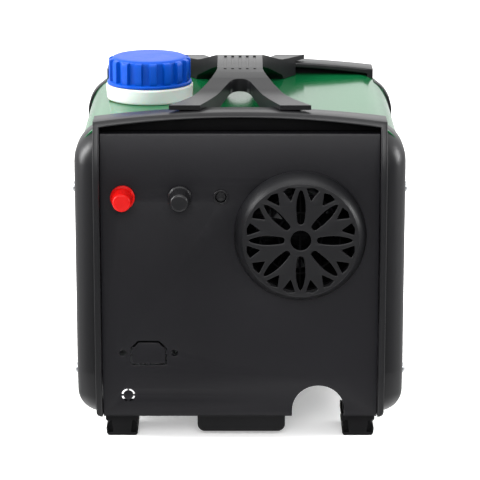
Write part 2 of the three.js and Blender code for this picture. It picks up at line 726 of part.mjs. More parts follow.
// A hollow screw cap with square grip ribs, and a bead round its mouth.
function makeCap() {
  const ribCount = 17;
  const [height, core, ribTip, bead, bore] = [21.8, 30, 32.8, 34, 27.3];
  const profile = [
    [0, height], [27, height - 0.3], [29.4, height - 1.4], [core, height - 3],
    [core, 3.4], [bead, 2.4], [bead - 0.3, 0],
    [bore, 0], [bore, height - 3.4], [0, height - 3.4],
  ];
  let cap = turnedAboutZ(profile, 34);
  for (let i = 0; i < ribCount; i++) {
    const angle = (i + 0.4) * 2 * Math.PI / ribCount;
    const rib = box(core - 2, ribTip, -2.9, 2.9, 2.5, height - 1.4);
    cap = cap.add(rib.rotate([0, 0, THREE.MathUtils.radToDeg(angle)]));
  }
  return cap.translate([FILLER_X, 0, CAP_SEAT_Z]);
}

place('fuel_cap', makeCap(), BLUE_PLASTIC);
place('cap_liner', turnedAboutZ(disc(26.6, NECK_TOP + GAP, CAP_SEAT_Z + 18), 24, FILLER_X),
  RUBBER);

// ---------------------------------------------------------------- terminals and button
function makePost(name, x, flangeRadius, plastic) {
  const seat = -PANEL_FACE_Y - GAP;
  const flange = [
    [3.2, -0], [flangeRadius, 0], [flangeRadius, -2.2], [flangeRadius - 0.8, -3], [3.2, -3],
  ];
  place(`${name}_post_base`, turnedAboutY(flange, 18, x, seat, POST_Z), plastic);

  const studLength = 27;
  place(`${name}_post_stud`, turnedAboutY([
    [0, 14], [6, 14], [6, 11], [2.9, 11], [2.9, 14 - studLength], [0, 14 - studLength],
  ], 8, x, seat, POST_Z), BRASS);

  const flutes = 9;
  const [neckRadius, gripRadius, tipRadius] = [8.3, 7.9, 7.3];
  const knob = [
    [3.3, 0], [neckRadius, 0], [neckRadius, -2.4], [gripRadius, -3], [gripRadius, -13.5],
    [tipRadius, -16.9], [0, -16.9], [0, -14], [3.3, -14],
  ];
  let cap = turnedAboutY(knob, 18, x, seat - 3 - GAP, POST_Z);
  for (let i = 0; i < flutes; i++) {
    const angle = (i + 0.5) * 2 * Math.PI / flutes;
    const flute = turnedAboutY(disc(0.5, -13, -4), 4,
      x + gripRadius * Math.cos(angle), seat - 3 - GAP, POST_Z + gripRadius * Math.sin(angle));
    cap = cap.subtract(flute);
  }
  place(`${name}_post_knob`, cap, plastic);
}

makePost('red', RED_POST_X, 9.5, RED_PLASTIC);
makePost('black', BLACK_POST_X, 9.2, BLACK_MOULDING);

const BUTTON_FACE_Y = -PANEL_FACE_Y + 0.6;
place('button_barrel', turnedAboutY([
  [4.6, -0.8], [5.75, -0.8], [5.75, -GAP], [5.0, -GAP], [5.0, 20], [0, 20], [0, 17], [4.6, 17],
], 16, BUTTON_X, -PANEL_FACE_Y, POST_Z), BLACK_MOULDING);
place('reset_button', turnedAboutY([
  [0, 0], [3.3, 0], [3.7, 0.5], [3.7, 12], [0, 12],
], 16, BUTTON_X, BUTTON_FACE_Y, POST_Z), BLACK_MOULDING);

// ---------------------------------------------------------------- intake grille
const GRILLE_BASE_RADIUS = 50.7;
const GRILLE_FACE_RADIUS = 44.5;
const GRILLE_HEIGHT = 15.5;
const GRILLE_WALL = 2.4;
const PETAL_COUNT = 8;
const PETAL_INNER = 12.4;
const PETAL_OUTER = 39.4;
const PETAL_HALF_WIDTH = 3.5;
const HUB_HOLE_RADIUS = 7.9;

// A long slot with a blunt inner end and a drawn-out outer end.
function petalShape() {
  const middle = (PETAL_INNER + PETAL_OUTER) / 2;
  const shape = new THREE.Shape();
  const [blunt, full] = [PETAL_HALF_WIDTH * 0.75, PETAL_HALF_WIDTH];
  shape.moveTo(0, PETAL_INNER);
  shape.quadraticCurveTo(blunt, PETAL_INNER, blunt + 0.1, PETAL_INNER + 3);
  shape.quadraticCurveTo(full * 1.25, middle, full * 0.8, PETAL_OUTER - 6.5);
  shape.quadraticCurveTo(full * 0.4, PETAL_OUTER, 0, PETAL_OUTER);
  shape.quadraticCurveTo(-full * 0.4, PETAL_OUTER, -full * 0.8, PETAL_OUTER - 6.5);
  shape.quadraticCurveTo(-full * 1.25, middle, -blunt - 0.1, PETAL_INNER + 3);
  shape.quadraticCurveTo(-blunt, PETAL_INNER, 0, PETAL_INNER);
  return shape;
}

// The small three-cornered window beside a petal, near the rim.
function windowShape(side) {
  const corner = (degrees, radius) => {
    const angle = THREE.MathUtils.degToRad(side * degrees);
    return [radius * Math.sin(angle), radius * Math.cos(angle)];
  };
  return polygon([corner(5.6, 41), corner(13, 41.8), corner(19.6, 41), corner(13.9, 31.4)]);
}

function makeGrille() {
  const top = GRILLE_HEIGHT;
  const shell = [
    [0, -top], [GRILLE_FACE_RADIUS - 1, -top], [GRILLE_FACE_RADIUS, -top + 0.9],
    [GRILLE_BASE_RADIUS, -1.2], [GRILLE_BASE_RADIUS, 0], [GRILLE_BASE_RADIUS - 4.6, 0],
    [GRILLE_FACE_RADIUS - GRILLE_WALL, -top + GRILLE_WALL], [0, -top + GRILLE_WALL],
  ];
  let grille = turnedAboutY(shell, 40);
  const cut = (shape, degrees) => frontPrism(shape, -top - 2, -top + GRILLE_WALL + 2, 3)
    .rotate([0, degrees, 0]);
  grille = grille.subtract(turnedAboutY(disc(HUB_HOLE_RADIUS, -20, 0), 20));
  for (let i = 0; i < PETAL_COUNT; i++) {
    const degrees = i * 360 / PETAL_COUNT;
    grille = grille.subtract(cut(petalShape(), degrees));
    grille = grille.subtract(cut(windowShape(-1), degrees));
    grille = grille.subtract(cut(windowShape(1), degrees));
  }
  return grille.translate([CORE_X, -PANEL_FACE_Y - GAP, CORE_Z]);
}

place('intake_grille', makeGrille(), BLACK_MOULDING);

// ---------------------------------------------------------------- heater core
const CORE_INNER = 45;
const CORE_OUTER = 47;
const CORE_FRONT_Y = -119;
const CORE_BACK_Y = 119;
const AIR_STUB_Y = -42;
const EXHAUST_STUB_Y = 12;
const STUB_RADIUS = 11;

// Wire guard ahead of the fan: rings on crossed wires.
function makeFanGuard() {
  const wire = 0.9;
  const ringRadii = [17, 31, 44];
  const solids = ringRadii.map((radius) => {
    const ring = new THREE.TorusGeometry(radius, wire, 4, 18).rotateX(Math.PI / 2);
    return toSolid(ring);
  });
  for (const turn of [0, Math.PI / 2]) {
    const rod = new THREE.CylinderGeometry(wire, wire, 88, 4).rotateZ(turn + Math.PI / 2);
    solids.push(toSolid(rod.rotateX(turn === 0 ? 0 : Math.PI / 2)));
  }
  return joined(solids).translate([CORE_X, -121, CORE_Z]);
}

function makeHousing() {
  let housing = turnedAboutY(tube(CORE_INNER, CORE_OUTER, CORE_FRONT_Y, CORE_BACK_Y), 32,
    CORE_X, 0, CORE_Z);
  for (const y of [AIR_STUB_Y, EXHAUST_STUB_Y]) {
    const hole = disc(STUB_RADIUS + 1, CORE_Z - CORE_OUTER - 10, CORE_Z - 20);
    housing = housing.subtract(turnedAboutZ(hole, 14, CORE_X, y, 0));
  }
  return housing;
}

function makeFanWheel() {
  const bladeCount = 9;
  const [hubRadius, tipRadius, length, bladeThickness] = [13, 42.5, 20, 1.8];
  let wheel = turnedAboutY([
    [0, 0], [hubRadius * 0.6, 0], [hubRadius, 4], [hubRadius, length], [3.2, length],
    [3.2, 8], [0, 8],
  ], 14);
  for (let i = 0; i < bladeCount; i++) {
    const blade = box(-bladeThickness / 2, bladeThickness / 2, -9, 9, hubRadius - 2, tipRadius)
      .rotate([0, 0, 38])
      .translate([0, length / 2 + 0.5, 0])
      .rotate([0, i * 360 / bladeCount, 0]);
    wheel = wheel.add(blade);
  }
  const rim = tube(hubRadius - 2, tipRadius + 0.2, 1.5, length - 0.5);
  return wheel.intersect(turnedAboutY(rim, 24).add(turnedAboutY(disc(hubRadius, 0, length), 14)))
    .translate([CORE_X, -112, CORE_Z]);
}

place('fan_guard', makeFanGuard(), STEEL);
place('heater_housing', makeHousing(), BLACK_MOULDING);
place('fan_wheel', makeFanWheel(), BLACK_MOULDING);
place('fan_motor', turnedAboutY([
  [0, -101], [2.5, -101], [2.5, -90], [20, -90], [22, -88], [22, -64], [0, -64],
], 20, CORE_X, 0, CORE_Z), ALUMINIUM);
place('burner_blower', turnedAboutY([
  [0, -64 + GAP], [24, -64 + GAP], [36, -56], [36, -24], [0, -24],
], 24, CORE_X, 0, CORE_Z), ALUMINIUM);

function makeExchanger() {
  const finCount = 12;
  const [core, fin, support] = [28, 40, CORE_INNER - GAP];
  let exchanger = turnedAboutY([
    [0, -24 + GAP], [core, -24 + GAP], [core, 88], [core - 8, 98], [0, 100],
  ], 24);
  for (let i = 0; i < finCount; i++) {
    const reach = i % 4 === 1 ? support - 0.2 : fin;
    const plate = box(-1, 1, -20, 90, core - 3, reach);
    exchanger = exchanger.add(plate.rotate([0, i * 360 / finCount, 0]));
  }
  return exchanger.translate([CORE_X, 0, CORE_Z]);
}

// The stubs reach up through the housing to the casting, between its lower fins.
function makeStub(y, contactRadius) {
  const low = CORE_Z - CORE_OUTER - 42;
  const high = CORE_Z - contactRadius - GAP;
  return turnedAboutZ([
    [STUB_RADIUS - 1.5, low], [STUB_RADIUS, low], [STUB_RADIUS, low + 2],
    [STUB_RADIUS - 0.7, low + 5], [STUB_RADIUS, low + 8], [STUB_RADIUS, high],
    [STUB_RADIUS - 1.5, high],
  ], 14, CORE_X, y, 0);
}

const exhaustClearance = turnedAboutZ(disc(STUB_RADIUS + GAP, CORE_Z - 60, CORE_Z - 28), 14,
  CORE_X, EXHAUST_STUB_Y, 0);
place('heat_exchanger', makeExchanger().subtract(exhaustClearance), ALUMINIUM);
place('air_stub', makeStub(AIR_STUB_Y, 36), ALUMINIUM);
place('exhaust_stub', makeStub(EXHAUST_STUB_Y, 28.5), STEEL);

// Two saddles carry the core above the base.
function makeCradle(y) {
  const floor = BASE_BOTTOM + BASE_SHEET + GAP;
  const half = 36;
  const saddle = box(CORE_X - half, CORE_X + half, y, y + 3, floor, CORE_Z - 22)
    .add(box(CORE_X - half, CORE_X + half, y, y + 16, floor, floor + 2));
  return saddle.subtract(turnedAboutY(disc(CORE_OUTER + GAP, -200, 200), 32, CORE_X, 0, CORE_Z));
}

place('front_cradle', makeCradle(-22), STEEL);
place('rear_cradle', makeCradle(74), STEEL);

const FLOOR_Z = BASE_BOTTOM + BASE_SHEET + GAP;
place('control_unit', planPrism(ovalShape(-60, 34, 36, 20, 3), FLOOR_Z, FLOOR_Z + 30, 2),
  BLACK_MOULDING);
place('fuel_pump', turnedAboutX([
  [0, -34], [3, -34], [3, -24], [13, -22], [13, 18], [5, 20], [5, 28], [0, 28],
], 14, -60, -8, FLOOR_Z + 13), STEEL);

// ---------------------------------------------------------------- outlet end
// A short spigot with a flange on the panel, level slats inside and a beaded rim.
function makeOutlet() {
  const [bore, wall, reach, slats] = [34.5, 38, 20.2, 5];
  const spigot = [
    [bore, 6], [wall, 6], [wall, 0.2], [wall, -GAP], [43, -GAP], [43, -2.6], [wall, -3.2],
    [wall - 0.6, -reach + 3.4], [wall, -reach + 2.4], [wall, -reach + 0.8],
    [wall - 0.8, -reach - GAP], [bore, -reach - GAP],
  ];
  let outlet = turnedAboutY(spigot, 28);
  const inside = turnedAboutY(disc(bore + 0.5, -reach, 6), 28);
  for (let i = 0; i < slats; i++) {
    const z = (i - (slats - 1) / 2) * 11.5;
    const slat = box(-wall, wall, -9, 4, -0.9, 0.9).rotate([28, 0, 0]).translate([0, -4, z]);
    outlet = outlet.add(slat.intersect(inside));
  }
  return outlet.translate([-CORE_X, -PANEL_FACE_Y, CORE_Z]);
}

place('outlet_spigot', makeOutlet(), BLACK_MOULDING, rearEnd);

const KNOB_Z = CONTROL_Z - 17;
const WINDOW_HALF_WIDTH = 25;
const WINDOW_HALF_HEIGHT = 14;
const WINDOW_Z = CONTROL_Z + 19;

function makeControlBezel() {
  const plate = frontPrism(ovalShape(CONTROL_X, CONTROL_Z, CONTROL_HALF_WIDTH,
    CONTROL_HALF_HEIGHT, 6), -PANEL_FACE_Y - 3.5, -PANEL_FACE_Y - GAP, 4);
  const box1 = box(CONTROL_X - 26, CONTROL_X + 26, -PANEL_FACE_Y - 1, -PANEL_FACE_Y + 14,
    CONTROL_Z - 34, CONTROL_Z + 34);
  const recess = box(CONTROL_X - WINDOW_HALF_WIDTH - GAP, CONTROL_X + WINDOW_HALF_WIDTH + GAP,
    -PANEL_FACE_Y - 5, -PANEL_FACE_Y - 1.5, WINDOW_Z - WINDOW_HALF_HEIGHT - GAP,
    WINDOW_Z + WINDOW_HALF_HEIGHT + GAP);
  const shaftHole = turnedAboutY(disc(3.6, -5, 9), 16, CONTROL_X, -PANEL_FACE_Y, KNOB_Z);
  return plate.add(box1).subtract(recess).subtract(shaftHole);
}

place('control_bezel', makeControlBezel(), BLACK_MOULDING, rearEnd);
place('display_window', box(CONTROL_X - WINDOW_HALF_WIDTH, CONTROL_X + WINDOW_HALF_WIDTH,
  -PANEL_FACE_Y - 3.3, -PANEL_FACE_Y - 1.5 - GAP, WINDOW_Z - WINDOW_HALF_HEIGHT,
  WINDOW_Z + WINDOW_HALF_HEIGHT), DARK_GLASS, rearEnd);

function makeControlKnob() {
  const scallops = 10;
  const [radius, height] = [12, 12.5];
  let knob = turnedAboutY([
    [0, 12], [3, 12], [3, 0], [radius + 1.2, 0], [radius + 1.2, -1.6], [radius, -2.4],
    [radius - 0.9, -height], [0, -height],
  ], 20);
  for (let i = 0; i < scallops; i++) {
    const scallop = turnedAboutY(disc(1.3, -height - 1, -3), 6, radius + 0.4, 0, 0);
    knob = knob.subtract(scallop.rotate([0, i * 360 / scallops, 0]));
  }
  const pointer = box(-0.7, 0.7, -height - 1, -height + 0.8, 4, radius);
  return knob.subtract(pointer)
    .translate([CONTROL_X, -PANEL_FACE_Y - 3.5 - GAP, KNOB_Z]);
}

place('control_knob', makeControlKnob(), BLACK_MOULDING, rearEnd);

export default heater;
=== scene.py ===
"""Finishes, rounded trims, studio and camera for a portable diesel air heater."""
import math

import bmesh
import bpy
from bpy.props import FloatProperty, FloatVectorProperty, IntProperty, PointerProperty
from mathutils import Matrix, Vector


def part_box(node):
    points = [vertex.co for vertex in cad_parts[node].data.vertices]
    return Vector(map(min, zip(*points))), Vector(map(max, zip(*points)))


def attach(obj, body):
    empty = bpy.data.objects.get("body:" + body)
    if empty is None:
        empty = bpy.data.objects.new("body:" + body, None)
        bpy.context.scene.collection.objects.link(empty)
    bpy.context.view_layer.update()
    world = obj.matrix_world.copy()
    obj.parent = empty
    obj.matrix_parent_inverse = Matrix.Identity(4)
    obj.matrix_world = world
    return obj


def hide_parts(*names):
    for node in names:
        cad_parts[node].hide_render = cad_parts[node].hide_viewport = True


bl_info = {
    "name": "Portable Diesel Air Heater",
    "version": (1, 0, 0),
    "blender": (4, 5, 0),
    "location": "View3D > Sidebar > Heater",
    "description": "Dresses a diesel air heater in rounded mouldings, enamel, "
                   "a screw cap and an intake grille",
    "category": "Object",
}

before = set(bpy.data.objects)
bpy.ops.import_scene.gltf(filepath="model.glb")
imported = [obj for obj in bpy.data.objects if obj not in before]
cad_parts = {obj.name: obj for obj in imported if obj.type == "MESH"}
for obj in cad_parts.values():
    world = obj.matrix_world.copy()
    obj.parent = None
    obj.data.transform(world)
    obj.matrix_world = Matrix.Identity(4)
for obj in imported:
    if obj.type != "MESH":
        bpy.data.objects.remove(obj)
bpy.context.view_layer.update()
MM = 0.001


def low(node):
    """Lowest corner of a node's box, in metres."""
    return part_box(node)[0]


def high(node):
    """Highest corner of a node's box, in metres."""
    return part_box(node)[1]


def middle(node):
    """Middle of a node's box, in metres."""
    return (low(node) + high(node)) / 2


def across(node, axis):
    """Length of a node's box along an axis, 0 to 2, in metres."""
    return high(node)[axis] - low(node)[axis]


# ------------------------------------------------------------------ settings
class HeaterFinishes(bpy.types.PropertyGroup):
    """Colours and gloss of the heater's surfaces."""

    moulding_colour: FloatVectorProperty(
        name="Moulding", description="Colour of the black end trims, handle and grille",
        subtype="COLOR", size=3, default=(0.0045, 0.0045, 0.0052), min=0, max=1)
    sheet_colour: FloatVectorProperty(
        name="Powder coat", description="Colour of the two end panels and the base",
        subtype="COLOR", size=3, default=(0.0052, 0.0050, 0.0064), min=0, max=1)
    cover_colour: FloatVectorProperty(
        name="Cover", description="Colour of the gloss enamel on the cover",
        subtype="COLOR", size=3, default=(0.003, 0.085, 0.026), min=0, max=1)
    cap_colour: FloatVectorProperty(
        name="Cap", description="Colour of the filler cap",
        subtype="COLOR", size=3, default=(0.0002, 0.048, 0.33), min=0, max=1)
    collar_colour: FloatVectorProperty(
        name="Tank", description="Colour of the filler collar and the tank",
        subtype="COLOR", size=3, default=(0.46, 0.5, 0.48), min=0, max=1)
    post_colour: FloatVectorProperty(
        name="Live post", description="Colour of the positive terminal's plastic",
        subtype="COLOR", size=3, default=(0.33, 0.0015, 0.001), min=0, max=1)
    moulding_roughness: FloatProperty(
        name="Moulding roughness", description="How matt the black mouldings are",
        default=0.34, min=0, max=1)
    cover_roughness: FloatProperty(
        name="Cover roughness", description="How matt the enamel is",
        default=0.12, min=0, max=1)


class HeaterDetails(bpy.types.PropertyGroup):
    """Sizes of the details that the rounded pieces add."""

    trim_edge: FloatProperty(
        name="Trim edge", description="Radius on the edges of the end trims",
        subtype="DISTANCE", unit="LENGTH", default=1.2 * MM, min=0.1 * MM, max=3 * MM)
    sheet_edge: FloatProperty(
        name="Sheet edge", description="Radius on the cut edges of sheet metal",
        subtype="DISTANCE", unit="LENGTH", default=0.3 * MM, min=0.05 * MM, max=0.7 * MM)
    slit_width: FloatProperty(
        name="Slit width", description="Width of the slits round the knock-outs",
        subtype="DISTANCE", unit="LENGTH", default=1.5 * MM, min=0.4 * MM, max=3 * MM)
    rib_count: IntProperty(
        name="Cap ribs", description="Number of grip ribs round the filler cap",
        default=17, min=6, max=40)
    petal_count: IntProperty(
        name="Grille petals", description="Number of long slots in the intake grille",
        default=8, min=3, max=16)


class HeaterStudio(bpy.types.PropertyGroup):
    """Where the camera stands and how strong the lights are."""

    distance: FloatProperty(
        name="Distance", description="How far the camera stands in front of the middle",
        subtype="DISTANCE", unit="LENGTH", default=2.0, min=0.5, max=10)
    eye_height: FloatProperty(
        name="Height", description="Height of the camera above the floor",
        subtype="DISTANCE", unit="LENGTH", default=0.6458, min=0, max=5)
    pitch: FloatProperty(
        name="Pitch", description="How far the camera looks down",
        subtype="ANGLE", default=math.radians(14.42), min=0, max=1.5)
    focal: FloatProperty(
        name="Focal length", description="Focal length in pixels of a 480 pixel frame",
        default=2527.3, min=200, max=9000)
    top_light: FloatProperty(
        name="Top light", description="Power of the softbox overhead",
        subtype="POWER", default=9, min=0, max=400)
    front_light: FloatProperty(
        name="Front light", description="Power of the softbox above the camera",
        subtype="POWER", default=44, min=0, max=400)
    side_light: FloatProperty(
        name="Side lights", description="Power of each low strip at the sides",
        subtype="POWER", default=20, min=0, max=400)
    rim_light: FloatProperty(
        name="Rim light", description="Power of the small softbox high on the left",
        subtype="POWER", default=26, min=0, max=400)
    room_dark: FloatProperty(
        name="Room in front", description="Brightness of the room low in front of the heater",
        default=0.15, min=0, max=4)
    room_bright: FloatProperty(
        name="Room behind", description="Brightness of the room above and behind the heater",
        default=1.75, min=0, max=4)
    floor_glow: FloatProperty(
        name="Floor glow", description="Light that the floor gives off, as a lit white sweep does",
        default=0.32, min=0, max=2)


def settings():
    """The scene's three groups of settings."""
    scene = bpy.context.scene
    return scene.heater_finishes, scene.heater_details, scene.heater_studio


# ------------------------------------------------------------------ shader expressions
class Socket:
    """An output socket. Sums, differences and products of it add Math nodes."""

    def __init__(self, shading, socket):
        self.shading = shading
        self.socket = socket

    def math(self, operation, first, second):
        return self.shading.node("ShaderNodeMath", {"operation": operation}, {0: first, 1: second})

    def __add__(self, other):
        return self.math("ADD", self, other)

    def __radd__(self, other):
        return self.math("ADD", other, self)

    def __sub__(self, other):
        return self.math("SUBTRACT", self, other)

    def __rsub__(self, other):
        return self.math("SUBTRACT", other, self)

    def __mul__(self, other):
        return self.math("MULTIPLY", self, other)

    def __rmul__(self, other):
        return self.math("MULTIPLY", other, self)


class Shading:
    """A node tree that is written as expressions."""

    def __init__(self, owner):
        owner.use_nodes = True
        self.tree = owner.node_tree

    def node(self, kind, setup=None, values=None, output=0):
        """Adds a node: its settings first, then its sockets' values or links."""
        made = self.tree.nodes.new(kind)
        for key, value in (setup or {}).items():
            if key == "stops":
                self.set_stops(made.color_ramp, value)
            else:
                setattr(made, key, value)
        for key, value in (values or {}).items():
            self.feed(made.inputs[key], value)
        return Socket(self, made.outputs[output])

    @staticmethod
    def set_stops(ramp, stops):
        """Lays out a colour ramp from (position, grey or colour) pairs."""
        while len(ramp.elements) < len(stops):
            ramp.elements.new(1.0)
        for element, (position, colour) in zip(ramp.elements, stops):
            element.position = position
            grey = isinstance(colour, (int, float))
            element.color = (colour, colour, colour, 1) if grey else (*colour, 1)

    def feed(self, socket, value):
        if isinstance(value, Socket):
            self.tree.links.new(value.socket, socket)
        else:
            socket.default_value = value

    def ramp(self, factor, stops):
        return self.node("ShaderNodeValToRGB", {"stops": stops}, {"Fac": factor})

    def between(self, factor, value, low_value, high_value):
        """Maps value from factor's (from, to) range onto low_value to high_value."""
        return self.node("ShaderNodeMapRange", {"clamp": True}, {
            "Value": value, "From Min": factor[0], "From Max": factor[1],
            "To Min": low_value, "To Max": high_value})


class Finish(Shading):
    """One material, built node by node round a Principled shader."""

    def __init__(self, name, **constants):
        self.material = bpy.data.materials.new(name)
        super().__init__(self.material)
        self.shader = self.tree.nodes["Principled BSDF"]
        for key, value in constants.items():
            self.shader.inputs[key.replace("_", " ")].default_value = value

    def place(self):
        """The point being shaded, in metres."""
        return self.node("ShaderNodeTexCoord", output="Object")

    def stretched(self, factors):
        """The point with each axis scaled."""
        return self.node("ShaderNodeVectorMath", {"operation": "MULTIPLY"},
                         {0: self.place(), 1: factors})

    def noise(self, scale, detail=2.0, roughness=0.5, vector=None):
        """Noise from 0 to 1, with scale in cells per metre."""
        return self.node("ShaderNodeTexNoise", {}, {
            "Vector": vector or self.place(), "Scale": scale, "Detail": detail,
            "Roughness": roughness})

    def cells(self, scale):
        """Distance to the nearest cell point, for pebbled grain."""
        return self.node("ShaderNodeTexVoronoi", {"feature": "F1"},
                         {"Vector": self.place(), "Scale": scale})

    def blend(self, factor, first, second):
        """Mixes two colours."""
        pick = {"data_type": "RGBA"}
        first = (*first, 1) if isinstance(first, tuple) else first
        second = (*second, 1) if isinstance(second, tuple) else second
        return self.node("ShaderNodeMix", pick, {0: factor, 6: first, 7: second}, output=2)

    def bump(self, height, depth, strength=1.0):
        """Feeds the shader's normal with a height field, depth metres tall."""
        bumped = self.node("ShaderNodeBump", {}, {
            "Height": height, "Distance": depth, "Strength": strength})
        self.feed(self.shader.inputs["Normal"], bumped)

    def mottle(self, factor, base, darker, lighter, ends=(0.3, 0.7)):
        """A base colour that drifts between a darker and a lighter shade of itself."""
        return self.ramp(factor, [(ends[0], shade_of(base, darker)),
                                  (ends[1], shade_of(base, lighter))])

    def colour(self, value):
        value = (*value, 1) if isinstance(value, tuple) else value
        self.feed(self.shader.inputs["Base Color"], value)

    def roughness(self, value):
        self.feed(self.shader.inputs["Roughness"], value)


def shade_of(colour, factor):
    """A colour made lighter or darker."""
    return tuple(min(1.0, channel * factor) for channel in colour)


FINISHES = {}


def finish(maker):
    """The material that a maker function makes, made once."""
    if maker.__name__ not in FINISHES:
        FINISHES[maker.__name__] = maker(settings()[0])
    return FINISHES[maker.__name__]


def black_moulding(tones):
    """Injection-moulded black plastic: fine spark grain, faint flow marks and patches of dust."""
    made = Finish("black_moulding", Specular_IOR_Level=0.27)
    grain = made.noise(2600, 3.0, 0.6)
    flow = made.noise(9, 2.0, 0.4, made.stretched((1.0, 1.0, 0.35)))
    wear = made.noise(55, 4.0, 0.6)
    base = tones.moulding_colour[:]
    tone = made.mottle(flow, base, 0.85, 1.25)
    scuffed = made.between((0.62, 0.8), wear, 0.0, 0.16)
    made.colour(made.blend(scuffed, tone, shade_of(base, 2.2)))
    made.roughness(made.between((0.2, 0.8), grain, -0.05, 0.06) + flow * 0.06
                   + (tones.moulding_roughness - 0.03))
    made.bump(grain, 0.00012, 0.35)
    return made.material


def powder_coat(tones):
    """Satin black powder coat with a shallow orange peel."""
    made = Finish("powder_coat", Specular_IOR_Level=0.2)
    peel = made.noise(620, 2.0, 0.45)
    speck = made.noise(4200, 1.0, 0.5)
    drift = made.noise(7, 2.0, 0.5)
    base = tones.sheet_colour[:]
    tone = made.mottle(drift, base, 0.88, 1.2)
    fleck = made.between((0.66, 0.78), speck, 0.0, 0.22)
    made.colour(made.blend(fleck, tone, shade_of(base, 2.4)))
    made.roughness(made.between((0.25, 0.75), peel, 0.33, 0.42) + drift * 0.05)
    made.bump(peel + speck * 0.35, 0.00007, 0.5)
    return made.material


def green_enamel(tones):
    """Deep green gloss enamel with soft waves in the sheet."""
    made = Finish("green_enamel", Specular_IOR_Level=0.2)
    wave = made.noise(11, 1.5, 0.4)
    peel = made.noise(420, 2.0, 0.45)
    flake = made.noise(5200, 1.0, 0.5)
    base = tones.cover_colour[:]
    tone = made.mottle(wave, base, 0.9, 1.12, (0.25, 0.75))
    glint = made.between((0.6, 0.75), flake, 0.0, 0.1)
    made.colour(made.blend(glint, tone, shade_of(base, 1.7)))
    made.roughness(made.between((0.3, 0.7), peel, -0.03, 0.05) + tones.cover_roughness)
    made.bump(peel * 0.12 + wave, 0.0005, 0.22)
    return made.material


def blue_cap(tones):
    """Blue polypropylene, slightly waxy, with faint rubbed patches."""
    made = Finish("blue_cap", Subsurface_Weight=0.1, Subsurface_Scale=0.002,
                  Specular_IOR_Level=0.14)
    grain = made.noise(1500, 3.0, 0.55)
    rub = made.noise(85, 4.0, 0.6)
    base = tones.cap_colour[:]
    made.colour(made.mottle(rub, base, 0.93, 1.1, (0.3, 0.8)))
    made.roughness(made.between((0.3, 0.75), rub, 0.33, 0.42) + grain * 0.05)
    made.bump(grain, 0.00006, 0.4)
    return made.material


def tank_plastic(tones):
    """Milky polyethylene: pale, a little see-through, with a waxy sheen."""
    made = Finish("tank_plastic", Subsurface_Weight=0.45, Subsurface_Scale=0.004)
    cloud = made.noise(26, 3.0, 0.5)
    skin = made.noise(900, 2.0, 0.5)
    base = tones.collar_colour[:]
    made.colour(made.mottle(cloud, base, 0.96, 1.03))
    made.roughness(made.between((0.2, 0.8), skin, 0.34, 0.46))
    made.bump(skin + cloud, 0.00008, 0.4)
    return made.material


def shaded_tank_wall(tones):
    """The tank's walls, darkened a little by the fuel behind them and far more by painted shade,
    so the end panel's slits and holes show dark.
    """
    made = Finish("shaded_tank_wall", Specular_IOR_Level=0.15)
    cloud = made.noise(20, 3.0, 0.5)
    skin = made.noise(900, 2.0, 0.5)
    # painted shade: the tank's pale colour cut to six percent
    base = shade_of(tones.collar_colour[:], 0.06)
    made.colour(made.mottle(cloud, base, 0.8, 1.2))
    made.roughness(made.between((0.2, 0.8), skin, 0.34, 0.46))
    return made.material


def red_plastic(tones):
    """Bright red terminal plastic, satin, with faint clouds in its tone."""
    made = Finish("red_plastic", Subsurface_Weight=0.06, Subsurface_Scale=0.0015,
                  Specular_IOR_Level=0.12)
    grain = made.noise(2400, 2.0, 0.5)
    cloud = made.noise(120, 2.0, 0.5)
    base = tones.post_colour[:]
    made.colour(made.mottle(cloud, base, 0.94, 1.05))
    made.roughness(made.between((0.2, 0.8), grain, 0.28, 0.38))
    made.bump(grain, 0.00005, 0.35)
    return made.material


def painted_shade_black(tones):
    """Painted shade: a matt black darker than the mouldings, for what lies in the dark behind the
    grille and under the hoods.
    """
    made = Finish("painted_shade_black", Specular_IOR_Level=0.06)
    grain = made.noise(1900, 2.0, 0.5)
    drift = made.noise(30, 2.0, 0.5)
    # painted shade: the moulding colour at less than half its brightness
    base = shade_of(tones.moulding_colour[:], 0.45)
    made.colour(made.mottle(drift, base, 0.8, 1.3))
    made.roughness(made.between((0.2, 0.8), grain, 0.55, 0.7))
    made.bump(grain, 0.00008, 0.4)
    return made.material


def foot_rubber(tones):
    """Matt black rubber with dust in its skin."""
    made = Finish("foot_rubber", Specular_IOR_Level=0.14)
    skin = made.noise(1800, 3.0, 0.6)
    dust = made.noise(70, 4.0, 0.65)
    base = shade_of(tones.moulding_colour[:], 0.72)
    patches = made.between((0.55, 0.8), dust, 0.0, 0.3)
    made.colour(made.blend(patches, base, shade_of(base, 2.2)))
    made.roughness(made.between((0.2, 0.8), skin, 0.66, 0.84))
    made.bump(skin, 0.00012, 0.5)
    return made.material


def metal(name, colour, smooth, rough, streak):
    """A worked metal: fine streaks along one axis and cloudy roughness."""
    made = Finish(name, Metallic=1.0)
    lines = made.noise(900, 2.0, 0.5, made.stretched(streak))
    cloud = made.noise(60, 3.0, 0.55)
    made.colour(made.mottle(cloud, colour, 0.86, 1.08))
    made.roughness(made.between((0.25, 0.75), lines, smooth, rough) + cloud * 0.05)
    made.bump(lines, 0.00003, 0.4)
    return made.material


def plated_steel(tones):
    """Bright zinc-plated steel."""
    return metal("plated_steel", (0.66, 0.68, 0.7), 0.2, 0.34, (1.0, 1.0, 0.2))


def cast_aluminium(tones):
    """Cast aluminium with a grainy skin."""
    made = Finish("cast_aluminium", Metallic=1.0)
    pits = made.cells(1300)
    cloud = made.noise(40, 3.0, 0.6)
    made.colour(made.ramp(cloud, [(0.3, (0.42, 0.43, 0.44)), (0.7, (0.6, 0.61, 0.62))]))
    made.roughness(made.between((0.1, 0.6), pits, 0.5, 0.36) + cloud * 0.06)
    made.bump(pits, 0.0001, 0.5)
    return made.material


def turned_brass(tones):
    """Turned brass with fine rings."""
    return metal("turned_brass", (0.78, 0.57, 0.25), 0.18, 0.3, (0.15, 1.0, 0.15))


